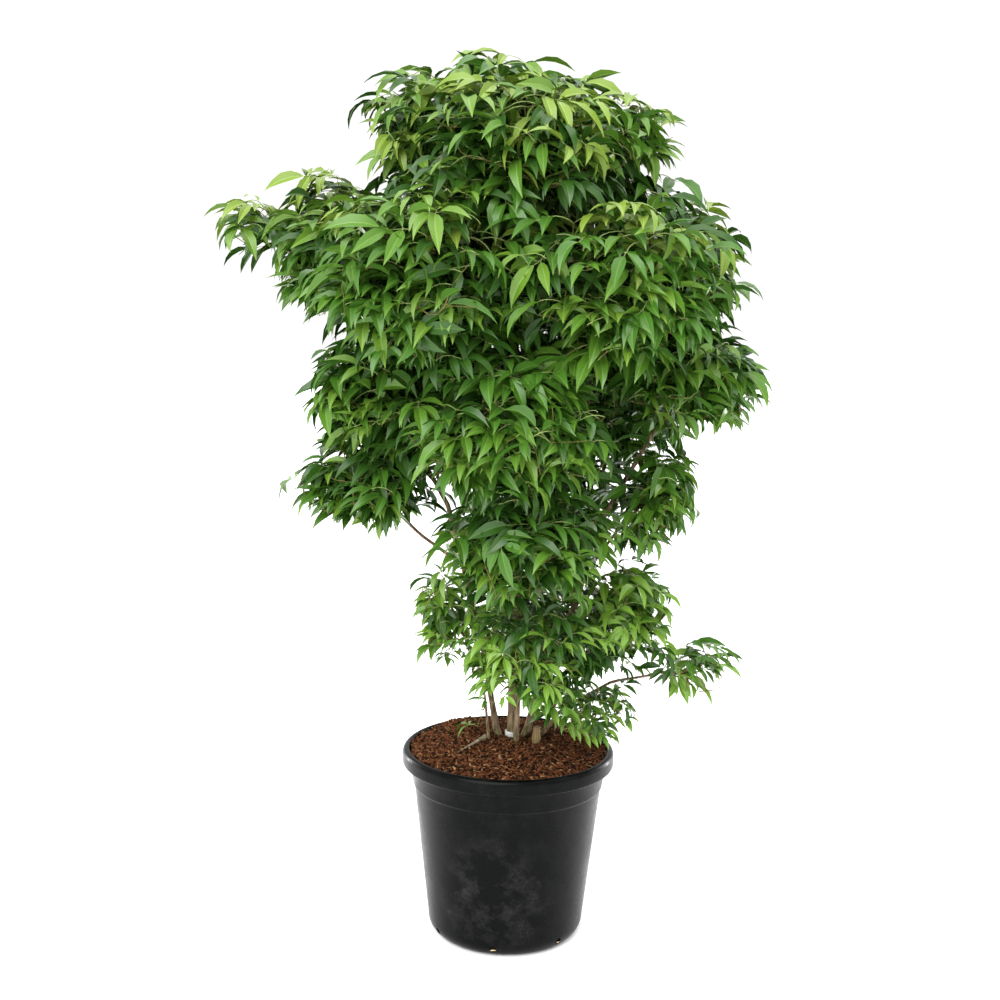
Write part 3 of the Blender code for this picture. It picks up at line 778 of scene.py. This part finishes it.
for name, (line, radii) in limbs.items():
    last = -1
    mass = nearest_mass(line[-1])
    for index, point in enumerate(line):
        way = line[min(index + 1, len(line) - 1)] - line[max(index - 1, 0)]
        last = add_point(point, way, last, None)
    outward = unit((centres[mass] - np.array((0.0, 0.0, centres[mass][2]))) + UP * 0.12)
    goal = centres[mass] + outward * halves[mass].min() * 0.35 + UP * halves[mass][2] * 0.25
    grow_curve(last, goal, unit(outward * 0.6 + UP), mass, False)

LIMB_POINTS = sum(len(line) for line, _ in limbs.values())
grown_from_limb = {chain["mass"] for chain in chains}
ordered = sorted(MASS_NAMES, key=lambda name: (name not in grown_from_limb, centres[name][2]))
for name in ["core"] + ordered:
    own = [i for i, mass in enumerate(mass_of) if mass == name]
    start_count = len(place_of)
    if name == "core":
        own = list(range(LIMB_POINTS + len(limbs)))
    elif not own:
        gaps = np.linalg.norm(np.array(place_of) - centres[name], axis=1)
        own = list(np.argsort(gaps)[:NEAREST_POINTS])
    base = np.array(place_of)[own].mean(0)
    for point, normal, outer in sorted(aims[name], key=lambda aim: np.linalg.norm(aim[0] - base)):
        pool = own + list(range(start_count, len(place_of)))
        spans = point - np.array([place_of[i] for i in pool])
        lengths = np.linalg.norm(spans, axis=1) + 1e-6
        along = np.einsum("ij,ij->i", spans, np.array([way_of[i] for i in pool])) / lengths
        cost = lengths * (1 + TURN_COST * (1 - along))
        start = pool[int(np.argmin(cost))]
        end_way = unit(normal * 0.55 + UP * 0.45 + unit(spans[int(np.argmin(cost))]) * 0.5)
        grow_curve(start, point, end_way, name, outer)
print("twigs:", len(chains), "points:", len(place_of))

# %% Twig radii by the pipe rule
TIP_RADIUS = 0.0010
THICKEST_TWIG = 0.0038
PIPE_POWER = 0.85
load = np.zeros(len(place_of))
for chain in chains:
    load[chain["points"][-1]] += 1.0
for index in range(len(place_of) - 1, -1, -1):
    if parent_of[index] >= 0:
        load[parent_of[index]] += load[index]
radius_of = TIP_RADIUS * np.sqrt(np.maximum(load, 1.0)) ** PIPE_POWER
radius_of = np.minimum(radius_of, THICKEST_TWIG)
print("thickest twig:", round(float(radius_of.max()) * 1000, 1), "mm")

# %% [markdown]
# Limbs and twigs are tubes made from arrays: rings of points that follow a line without
# twisting. Bark relief is real geometry on the limbs: ridges that run lengthwise and a
# swelling where a pair of leaves once grew. Twigs are too thin to need it.

# %% Tubes along lines
def tube_rings(line, radii, sides, relief=None):
    """Points of the rings along a line. relief(turn, distance) scales the radius."""
    ways = np.gradient(line, axis=0)
    ways /= np.maximum(np.linalg.norm(ways, axis=1), 1e-9)[:, None]
    side = unit(np.cross(ways[0], (0.31, 0.95, 0.05)))
    turns = np.arange(sides) / sides * math.tau
    distance = 0.0
    rings = []
    for index, (centre, way, radius) in enumerate(zip(line, ways, radii)):
        if index:
            distance += np.linalg.norm(centre - line[index - 1])
        side = unit(side - way * side.dot(way))
        other = np.cross(way, side)
        scale = np.ones(sides) if relief is None else relief(turns, distance)
        around = np.cos(turns)[:, None] * side + np.sin(turns)[:, None] * other
        rings.append(centre + radius * scale[:, None] * around)
    return np.array(rings)


def tubes_mesh(name, tubes, sides):
    """One mesh of many tubes, each closed at both ends."""
    points = []
    faces = []
    for rings in tubes:
        first = len(points)
        count = len(rings)
        points.extend(rings.reshape(-1, 3).tolist())
        for ring in range(count - 1):
            for side in range(sides):
                a = first + ring * sides + side
                b = first + ring * sides + (side + 1) % sides
                faces.append((a, b, b + sides, a + sides))
        faces.append(tuple(first + side for side in reversed(range(sides))))
        faces.append(tuple(first + (count - 1) * sides + side for side in range(sides)))
    return mesh_from(name, points, faces)


def resample(line, radii, spacing):
    """The same line and radii at an even, finer spacing."""
    steps = np.linalg.norm(np.diff(line, axis=0), axis=1)
    total = np.concatenate(([0.0], np.cumsum(steps)))
    wanted = np.linspace(0.0, total[-1], max(3, int(total[-1] / spacing) + 1))
    fine = np.stack([np.interp(wanted, total, line[:, axis]) for axis in range(3)], axis=1)
    return fine, np.interp(wanted, total, radii)

# %% Limbs with bark relief
BARK_SIDES = 20
BARK_STEP = 0.007
NODE_SPACING = 0.11
BOUGH_SIDES = 12
BOUGH_STEP = 0.010
STEM_RELIEF = 0.22
BOUGH_RELIEF = 0.16


def bark_relief(offset, strength):
    """Lengthwise ridges that wander and fade, and a swelling at each old leaf pair."""
    def relief(turns, distance):
        spots = [(math.cos(t), math.sin(t)) for t in turns]
        ridges = [noise.noise(Vector((x * 2.4 + offset, y * 2.4, distance * 14.0))) for x, y in spots]
        fine = [noise.noise(Vector((x * 6.0, y * 6.0 + offset, distance * 40.0))) for x, y in spots]
        knot = math.exp(-(((distance + offset * 0.03) % NODE_SPACING - NODE_SPACING / 2) / 0.006) ** 2)
        return 1.0 + strength * (0.8 * np.array(ridges) + 0.4 * np.array(fine)) + 0.14 * knot
    return relief


def bark_piece(name, names, spacing, sides, strength):
    tubes = []
    for number, limb in enumerate(names):
        line, radii = resample(*limbs[limb], spacing)
        tubes.append(tube_rings(line, radii * 0.97, sides, bark_relief(number * 3.7, strength)))
    return new_object(name, tubes_mesh(name, tubes, sides))


stems = bark_piece("Stems_Bark", STEM_NAMES, BARK_STEP, BARK_SIDES, STEM_RELIEF)
boughs = bark_piece("Boughs_Bark", BOUGH_NAMES, BOUGH_STEP, BOUGH_SIDES, BOUGH_RELIEF)

# %% Twigs
TWIG_SIDES = 5
twig_tubes = []
for chain in chains:
    indices = chain["points"]
    line = np.array([place_of[i] for i in indices])
    radii = radius_of[indices].copy()
    radii[0] = radii[1] if len(radii) > 1 else radii[0]
    radii[-1] = TIP_RADIUS * 0.6
    twig_tubes.append(tube_rings(line, radii, TWIG_SIDES))
twigs = new_object("Twigs", tubes_mesh("Twigs", twig_tubes, TWIG_SIDES))
print("twig tubes:", len(twig_tubes))

# %% [markdown]
# Bladdernut bark is smooth and grey-brown with paler lengthwise lines where it splits,
# and green with moss near the ground. Twigs of this year are olive to reddish. The relief
# is geometry, so the shader adds only colour and the fine cracks, about 2 mm apart.

# %% Bark and twig finishes
def bark(name, dark, light, moss):
    made, tree, shader = new_material(name, dark, 0.85, Specular_IOR_Level=0.3)
    place = add_node(tree, "TexCoord").outputs["Object"]
    long = add_node(tree, "Mapping", {"Vector": place, "Scale": (260.0, 260.0, 22.0)})
    lines = add_node(tree, "TexNoise", {"Vector": long, "Scale": 1.0, "Detail": 5.0, "Roughness": 0.6})
    share = add_node(tree, "MapRange", {"Value": lines, 1: 0.38, 2: 0.64, 3: 0.0, 4: 1.0})
    wood = add_node(tree, "Mix", {0: share, "A": linear(dark), "B": linear(light)}, data_type="RGBA")
    height = add_node(tree, "SeparateXYZ", {0: place})
    low = add_node(tree, "MapRange", {"Value": height.outputs["Z"], 1: 0.462, 2: 0.515, 3: 0.85, 4: 0.0})
    clumps = add_node(tree, "TexNoise", {"Vector": place, "Scale": 120.0, "Detail": 4.0})
    patch = add_node(tree, "MapRange", {"Value": clumps, 1: 0.40, 2: 0.58, 3: 0.0, 4: 1.0})
    mossy = add_node(tree, "Math", {0: low, 1: patch}, operation="MULTIPLY")
    colour = add_node(tree, "Mix", {
        0: mossy, "A": wood.outputs["Result"], "B": linear(moss)}, data_type="RGBA")
    bump = add_node(tree, "Bump", {"Height": lines, "Strength": 0.5, "Distance": 0.0008})
    wire(tree, shader, Base_Color=colour.outputs["Result"], Normal=bump.outputs[0])
    return made


stems.data.materials.append(bark("Grey-brown bladdernut bark", "#4A3A2A", "#9A8468", "#4F5A20"))
boughs.data.materials.append(bark("Brown bladdernut bark", "#4A3122", "#86694A", "#4F5A20"))
twigs.data.materials.append(bark("Olive twig bark", "#4E4A24", "#7A6C3C", "#4F5A20"))
finish_piece(stems, "bark", *STEM_NAMES)
finish_piece(boughs, "bark", *BOUGH_NAMES)
finish_piece(twigs, "foliage")

# %% [markdown]
# A bladdernut leaf is pinnate: three or five stalked leaflets on one stalk, each 7 to 10 cm
# long, a third as wide, drawn out to a drip tip, folded along a pale midrib and arched
# over. Six leaf shapes are made from arrays, leaf blades apart from leaf stalks, growing
# along +Y with +Z up, so that turning one about Z keeps its droop true to gravity.

# %% One leaflet
LEAFLET_STATIONS = (0.0, 0.10, 0.28, 0.50, 0.72, 0.88, 1.0)
LEAFLET_WIDTHS = (0.0, 0.44, 0.93, 1.0, 0.62, 0.22, 0.0)
FOLD = math.radians(25)
UV_NAME = "OFBake"


def leaflet(root, heading, rise, droop, length, width, roll):
    """Points, faces, corner coordinates and tip of one arched, folded leaflet."""
    ahead = np.array((math.sin(heading), math.cos(heading), 0.0))
    side = np.array((math.cos(heading), -math.sin(heading), 0.0))
    side = unit(side * math.cos(roll) + UP * math.sin(roll))
    centre = np.array(root, float)
    points = []
    rows = []
    before = 0.0
    for station, share in zip(LEAFLET_STATIONS, LEAFLET_WIDTHS):
        angle = rise - droop * station ** 1.15
        way = ahead * math.cos(angle) + UP * math.sin(angle)
        centre = centre + way * (station - before) * length
        before = station
        over = unit(np.cross(side, way))
        half = share * width / 2
        if half == 0.0:
            rows.append((len(points),))
            points.append(centre)
            continue
        rows.append((len(points), len(points) + 1, len(points) + 2))
        lift = over * half * math.sin(FOLD)
        reach = side * half * math.cos(FOLD)
        points += [centre - reach + lift, centre, centre + reach + lift]
    faces = []
    for low, high in zip(rows, rows[1:]):
        if len(low) == 1:
            faces += [(low[0], high[1], high[0]), (low[0], high[2], high[1])]
        elif len(high) == 1:
            faces += [(low[0], low[1], high[0]), (low[1], low[2], high[0])]
        else:
            faces += [(low[0], low[1], high[1], high[0]), (low[1], low[2], high[2], high[1])]
    where = {}
    for row, station, share in zip(rows, LEAFLET_STATIONS, LEAFLET_WIDTHS):
        if len(row) == 1:
            where[row[0]] = (0.5, station)
        else:
            for index, sign in zip(row, (-1, 0, 1)):
                where[index] = (0.5 + sign * share * 0.48, station)
    return points, faces, where, centre


# %% Whole leaves and their stalks
LEAFLET_LENGTH = 0.102
LEAFLET_WIDTH = 0.0325
STALK_RADIUS = 0.0011
LEAF_SHAPES = 6


def whole_leaf(number, rng):
    """Blade mesh, stalk mesh and the leaflet tips of one leaf shape."""
    pairs = 2 if number % 2 else 1
    rise = math.radians(rng.uniform(20, 38))
    stalk = rng.uniform(0.046, 0.070)
    bend = [np.zeros(3)]
    for step in range(4):
        angle = rise - math.radians(14) * step
        bend.append(bend[-1] + np.array((0.0, math.cos(angle), math.sin(angle))) * stalk / 4)
    joints = [bend[-1]]
    level = rise - math.radians(54)
    if pairs == 2:
        joints.append(joints[-1] + np.array((0.0, math.cos(level), math.sin(level))) * 0.026)
    leaflets = []
    for pair, joint in enumerate(joints):
        for sign in (-1, 1):
            heading = sign * math.radians(rng.uniform(50, 72) - 12 * pair)
            leaflets.append((joint, heading, 0.005, rng.uniform(0.78, 0.95)))
    leaflets.append((joints[-1], math.radians(rng.uniform(-8, 8)), 0.016, 1.06))
    points = []
    faces = []
    where = {}
    tips = []
    stalks = [np.array(bend + joints[1:])]
    for joint, heading, reach, scale in leaflets:
        start = np.array(joint) + np.array((math.sin(heading), math.cos(heading), 0.0)) * reach
        part = leaflet(start, heading, math.radians(rng.uniform(-8, 20)), math.radians(rng.uniform(35, 80)),
                       LEAFLET_LENGTH * scale * rng.uniform(0.94, 1.06), LEAFLET_WIDTH * scale,
                       math.radians(rng.uniform(-28, 28)))
        shift = len(points)
        points += part[0]
        faces += [tuple(index + shift for index in face) for face in part[1]]
        where.update({index + shift: value for index, value in part[2].items()})
        tips.append(part[3])
        stalks.append(np.array([np.array(joint), start]))
    blade = mesh_from(f"Leaf {number}", points, faces)
    blade.set_sharp_from_angle(angle=math.radians(24))
    layer = blade.uv_layers.new(name=UV_NAME)
    for loop in blade.loops:
        layer.data[loop.index].uv = where[loop.vertex_index]
    tubes = [tube_rings(line, np.full(len(line), STALK_RADIUS), 3) for line in stalks]
    return blade, tubes_mesh(f"Stalk {number}", tubes, 3), np.array(tips)


leaves = [whole_leaf(number, dice) for number in range(LEAF_SHAPES)]
blade_shapes = shape_collection("Leaf", [blade for blade, _, _ in leaves])
stalk_shapes = shape_collection("Stalk", [stalk for _, stalk, _ in leaves])
tip_sets = [tips for _, _, tips in leaves]
print("faces in the leaf shapes:", [len(blade.polygons) for blade, _, _ in leaves])

# %% [markdown]
# Leaves sit in opposite pairs, each pair turned a quarter from the last. They are placed on
# the outer part of every twig, and a leaf whose tips would leave the crown's outline is
# turned, made smaller or left out, so the crown keeps the outline and gaps of the frame.
# The sprays at the top are yellow-green, partly as young leaves are and partly as painted
# sunlight, the ones inside are dark as painted shade, and the small ones on the low shoots
# are light, so each spray gets one of six plain colours by where it grows.

# %% Deal leaves to the twigs
PAIR_GAP = 0.032
LEAFY_LENGTH = 0.23
OVERHANG = (-0.012, 0.034)
CLEAR_LOW = np.array((-0.048, -0.30, 0.44))
CLEAR_HIGH = np.array((0.018, 0.02, 0.615))
SUNLIT_YOUNG_ABOVE = 1.62
LOW_BELOW = 0.92
LONG_SHOOT_X = 0.33
TIP_REACH = 0.05
FIT_TRIES = ((0.0, 1.0), (0.6, 0.95), (-0.6, 0.95), (0.0, 0.72))  # turn and size of each try
END_SWING = 60
SWING_SHARE = 0.86
HEADING_SPREAD = 0.45
PITCH_MEAN = 0.02
PITCH_SPREAD = 0.30
ROLL_SPREAD = 0.34
INWARD_LEFT_OUT = 0.5
YOUNG_TIP_SIZE = 0.85
TINTS = ("Young", "Fresh", "Green", "Mature", "Deep", "Low")


def euler_matrix(pitch, roll, heading):
    spin = Matrix.Rotation(heading, 3, "Z") @ Matrix.Rotation(roll, 3, "Y")
    return np.array(spin @ Matrix.Rotation(pitch, 3, "X"))


def tint_for(height, outer):
    """The colour of a spray, by its height and whether light reaches it."""
    draw = dice.random()
    # Sprays that light doesn't reach are dark as painted shade; outer ones high up are lighter, partly as
    # painted sunlight.
    if not outer:
        return "Deep" if draw < 0.75 else "Mature"
    if height > SUNLIT_YOUNG_ABOVE:
        return "Young" if draw < 0.42 else "Fresh" if draw < 0.78 else "Green"
    if height < LOW_BELOW:
        return "Low" if draw < 0.55 else "Fresh" if draw < 0.75 else "Green"
    return "Fresh" if draw < 0.24 else "Green" if draw < 0.62 else "Mature"


def leaf_size(point):
    """Lower leaves are smaller, but not those at the end of the long low shoot."""
    size = float(np.interp(point[2], (0.50, 0.75, 1.0, 1.3), (0.52, 0.68, 0.88, 1.0)))
    return max(size, 0.86) if point[0] > LONG_SHOOT_X and point[2] < LOW_MASS else size


def in_clear_space(point):
    """True in the bare space in front of the clump, where the stems show."""
    return bool(np.all(point > CLEAR_LOW) and np.all(point < CLEAR_HIGH))


def tip_fits(tip, overhang):
    """True if a leaflet's tip is in the crown or near enough to it, and out of the clear space."""
    return max(crown_depth(tip, TIP_REACH), core_depth(tip)) > -overhang and not in_clear_space(tip)


def fit_leaf(point, heading, pitch, roll, size, kind):
    """A turn and size that keep the leaf's tips within the crown, or None."""
    overhang = dice.uniform(*OVERHANG)
    for turn, shrink in FIT_TRIES:
        spin = euler_matrix(pitch, roll, heading + turn)
        tips = point + tip_sets[kind] @ spin.T * size * shrink
        if all(tip_fits(tip, overhang) for tip in tips):
            return heading + turn, size * shrink
    return None


dealt = {tint: [] for tint in TINTS}
for chain in chains:
    line = [place_of[i] for i in chain["points"]]
    tint = tint_for(line[-1][2], chain["outer"])
    walked = 0.0
    wanted = 0.0
    pair = int(dice.integers(2))
    for index in range(len(line) - 1, 0, -1):
        if walked >= wanted and walked < min(LEAFY_LENGTH, chain["length"] * 0.8 + 0.02):
            point = line[index]
            out = unit(np.array((point[0], point[1], 0.0)) + unit(line[index] - line[index - 1]) * 0.12)
            facing = math.atan2(-out[0], out[1])
            for side in (-1, 1):
                swing = side * math.radians(90 if pair % 2 else 180 if side > 0 else 0)
                if index == len(line) - 1:
                    swing = side * math.radians(END_SWING)
                heading = facing + swing * SWING_SHARE + dice.normal(0.0, HEADING_SPREAD)
                inward = abs(swing) > 3.0
                if inward and dice.random() < INWARD_LEFT_OUT:
                    continue
                kind = int(dice.integers(LEAF_SHAPES))
                pitch = dice.normal(PITCH_MEAN, PITCH_SPREAD)
                roll = dice.normal(0.0, ROLL_SPREAD)
                size = leaf_size(point) * dice.uniform(0.80, 1.10)
                if tint == "Young" and index == len(line) - 1:
                    size *= YOUNG_TIP_SIZE
                fitted = fit_leaf(point, heading, pitch, roll, size, kind)
                if fitted:
                    dealt[tint].append((point, (pitch, roll, fitted[0]), fitted[1], kind))
            pair += 1
            wanted = walked + PAIR_GAP * dice.uniform(0.8, 1.3)
        walked += np.linalg.norm(line[index] - line[index - 1])
print("leaves dealt:", {tint: len(found) for tint, found in dealt.items()})

# %% Geometry Nodes that set leaves on points
sprays, given, result = new_tree("Set leaves", (
    ("Shapes", "NodeSocketCollection"), ("Leaf size", "NodeSocketFloat"),
    ("Material", "NodeSocketMaterial")))
turn = add_node(sprays, "GeometryNodeInputNamedAttribute", {"Name": "turn"}, data_type="FLOAT_VECTOR")
size = add_node(sprays, "GeometryNodeInputNamedAttribute", {"Name": "size"}, data_type="FLOAT")
kind = add_node(sprays, "GeometryNodeInputNamedAttribute", {"Name": "kind"}, data_type="INT")
spin = add_node(sprays, "FunctionNodeEulerToRotation", {0: turn.outputs["Attribute"]})
scale = add_node(sprays, "Math", {
    0: size.outputs["Attribute"], 1: given.outputs["Leaf size"]}, operation="MULTIPLY")
set_shapes(sprays, given, result, given.outputs["Geometry"], kind.outputs["Attribute"],
           spin.outputs[0], scale.outputs[0])


def leaf_points(name, found):
    """A mesh of bare points that carry each leaf's turn, size and shape."""
    mesh = bpy.data.meshes.new(name)
    mesh.from_pydata([tuple(map(float, point)) for point, _, _, _ in found], [], [])
    turns = np.array([turn for _, turn, _, _ in found], np.float32)
    mesh.attributes.new("turn", "FLOAT_VECTOR", "POINT").data.foreach_set("vector", turns.ravel())
    sizes = np.array([size for _, _, size, _ in found], np.float32)
    mesh.attributes.new("size", "FLOAT", "POINT").data.foreach_set("value", sizes)
    kinds = np.array([kind for _, _, _, kind in found], np.int32)
    mesh.attributes.new("kind", "INT", "POINT").data.foreach_set("value", kinds)
    return new_object(name, mesh)


def leaf_piece(name, found, shapes, skin, *replaced):
    """Set shapes on the points of some leaves and finish them as one piece."""
    guide = leaf_points(name + " points", found)
    add_nodes_modifier(guide, sprays, {"Shapes": shapes, "Leaf size": LEAF_SIZE, "Material": skin})
    piece = settle(guide, name)
    for attribute in ("turn", "size", "kind"):
        if attribute in piece.data.attributes:
            piece.data.attributes.remove(piece.data.attributes[attribute])
    finish_piece(piece, "foliage", *replaced)


print("nodes in the leaf tree:", len(sprays.nodes))

# %% [markdown]
# A living leaf is a waxy, slightly glossy skin over green tissue: IOR 1.45, roughness about
# 0.4. The midrib is paler than the blade, and side veins leave it every 9 mm or so. Both
# are drawn from the leaflet's own coordinates, across and along, so they stay on the leaf.

# %% Leaf and stalk finishes
MIDRIB_HALF = 0.030
VEINS = 11.0


def leaf_skin(name, blade, rib):
    made, tree, shader = new_material(name, blade, 0.38, IOR=1.45, Specular_IOR_Level=0.50)
    where = add_node(tree, "UVMap", uv_map=UV_NAME)
    parts = add_node(tree, "SeparateXYZ", {0: where})
    aside = add_node(tree, "Math", {0: parts.outputs["X"], 1: 0.5}, operation="SUBTRACT")
    away = add_node(tree, "Math", {0: aside}, operation="ABSOLUTE")
    midrib = add_node(tree, "MapRange", {
        "Value": away, 1: MIDRIB_HALF, 2: MIDRIB_HALF * 2.2, 3: 0.42, 4: 0.0})
    slant = add_node(tree, "Math", {0: away, 1: -7.0, 2: 0.0}, operation="MULTIPLY_ADD")
    along = add_node(tree, "Math", {0: parts.outputs["Y"], 1: VEINS, 2: slant}, operation="MULTIPLY_ADD")
    wave = add_node(tree, "Math", {0: along, 1: 0.5}, operation="PINGPONG")
    vein = add_node(tree, "MapRange", {"Value": wave, 1: 0.0, 2: 0.16, 3: 0.22, 4: 0.0})
    lines = add_node(tree, "Math", {0: midrib, 1: vein}, operation="MAXIMUM")
    colour = add_node(tree, "Mix", {0: lines, "A": linear(blade), "B": linear(rib)}, data_type="RGBA")
    wire(tree, shader, Base_Color=colour.outputs["Result"])
    return made


# Blade and midrib of each colour. The darkest pair is painted shade for the inner sprays, and the
# yellow-green pair is partly painted sunlight.
LEAF_COLOURS = {
    "Young": ("#708B2C", "#A5B964"),
    "Fresh": ("#5B8024", "#94AE5A"),
    "Green": ("#4B751D", "#84A24E"),
    "Mature": ("#3B6719", "#739444"),
    "Deep": ("#274C11", "#54772F"),
    "Low": ("#658C2A", "#9BB45C"),
}

# %% Make the leaf pieces
LEAF_SIZE = 1.0
for tint in TINTS:
    skin = leaf_skin(f"{tint} leaf skin", *LEAF_COLOURS[tint])
    leaf_piece(f"Leaves_{tint}", dealt[tint], blade_shapes, skin, *(MASS_NAMES if tint == "Mature" else ()))

stalk_skin, tree, shader = new_material("Pale green stalk", "#8FA35C", 0.5, IOR=1.45)
grain = add_node(tree, "TexNoise", {
    "Vector": add_node(tree, "TexCoord").outputs["Object"], "Scale": 500.0, "Detail": 2.0})
bump = add_node(tree, "Bump", {"Height": grain, "Strength": 0.2, "Distance": 0.0003})
wire(tree, shader, Normal=bump.outputs[0])
every_leaf = [leaf for found in dealt.values() for leaf in found]
STALK_LEVELS = (("Stalks_Top", 1.55, 9.0), ("Stalks_Middle", 1.15, 1.55), ("Stalks_Low", 0.0, 1.15))
for name, lowest, highest in STALK_LEVELS:
    level = [leaf for leaf in every_leaf if lowest <= leaf[0][2] < highest]
    leaf_piece(name, level, stalk_shapes, stalk_skin)

# %% [markdown]
# Three small things sit at the foot of the clump: a curled white plastic tie round the main
# stem, a pale stub where a shoot was cut off, and a grey dead spur that lies out over the
# mulch. Their places are the frame's.

# %% Tie, stub and spur
TIE_TURNS = 1.35
TIE_STEPS = 60
TIE_SHEET = 0.0007
TIE_LEVELS = (0.0, 0.33, 0.66, 1.0)
TIE_START = 1.9
TIE_SHARE = 0.86
SNAG_SIDES = 14
SNAG_RELIEF = 0.25
tie_low, tie_high = (np.array(corner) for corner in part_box("Stem_Tie"))
tie_middle = (tie_low + tie_high) / 2
tie_radius = (tie_high[0] - tie_low[0]) / 2
tie_height = tie_high[2] - tie_low[2]
rows = []
for step in range(TIE_STEPS + 1):
    share = step / TIE_STEPS
    turn = math.tau * TIE_TURNS * share - TIE_START
    radius = tie_radius - TIE_SHEET - 0.0016 * (1 - share)
    out = np.array((math.cos(turn), math.sin(turn), 0.0))
    lean = 0.0012 * math.sin(turn * 2 + 0.6)
    heights = [tie_height * (level - 0.5) * TIE_SHARE + lean for level in TIE_LEVELS]
    rows.append([tie_middle + out * radius + UP * height for height in heights])
points = [point for row in rows for point in row]
firsts = [row * 4 + column for row in range(TIE_STEPS) for column in range(3)]
faces = [(first, first + 4, first + 5, first + 1) for first in firsts]
tie = new_object("Tie_Strip", mesh_from("Tie_Strip", points, faces))
sheet = tie.modifiers.new("Sheet", "SOLIDIFY")
sheet.thickness = TIE_SHEET
sheet.offset = 1.0
tie = settle(tie, "Tie_Strip")
white, tree, shader = new_material("Weathered white polythene", "#C9CCC8", 0.5, IOR=1.51)
spots = add_node(tree, "TexNoise", {
    "Vector": add_node(tree, "TexCoord").outputs["Object"], "Scale": 260.0, "Detail": 4.0})
share = add_node(tree, "MapRange", {"Value": spots, 1: 0.52, 2: 0.72, 3: 0.0, 4: 0.8})
colour = add_node(tree, "Mix", {
    0: share, "A": linear("#D4D6D2"), "B": linear("#7D7765")}, data_type="RGBA")
wire(tree, shader, Base_Color=colour.outputs["Result"])
tie.data.materials.append(white)
finish_piece(tie, "tie_plastic", "Stem_Tie")

for node, name, light, dark in (
        ("Cut_Stub", "Stub_Wood", "#A68B66", "#6A523A"), ("Dead_Spur", "Spur_Wood", "#9A8C7C", "#54483C")):
    line, radii = resample(*middle_line(node, 0.004), 0.002)
    rings = tube_rings(line, radii * 0.95, SNAG_SIDES, bark_relief(5.1, SNAG_RELIEF))
    piece = new_object(name, tubes_mesh(name, [rings], SNAG_SIDES))
    piece.data.materials.append(bark(name.replace("_", " ") + " weathered", dark, light, "#6A6A30"))
    finish_piece(piece, "dead_wood", node)

# %% Sizes and finish
for group in (chips, blade_shapes, stalk_shapes):
    for shape in list(group.objects):
        bpy.data.objects.remove(shape)
    bpy.data.collections.remove(group)
low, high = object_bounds()
sizes = {"cad": [list(cad_low), list(cad_high)], "visual": [list(low), list(high)]}
print("cad box:", [round(v, 3) for v in (*cad_low, *cad_high)])
print("visual box:", [round(v, 3) for v in (*low, *high)])
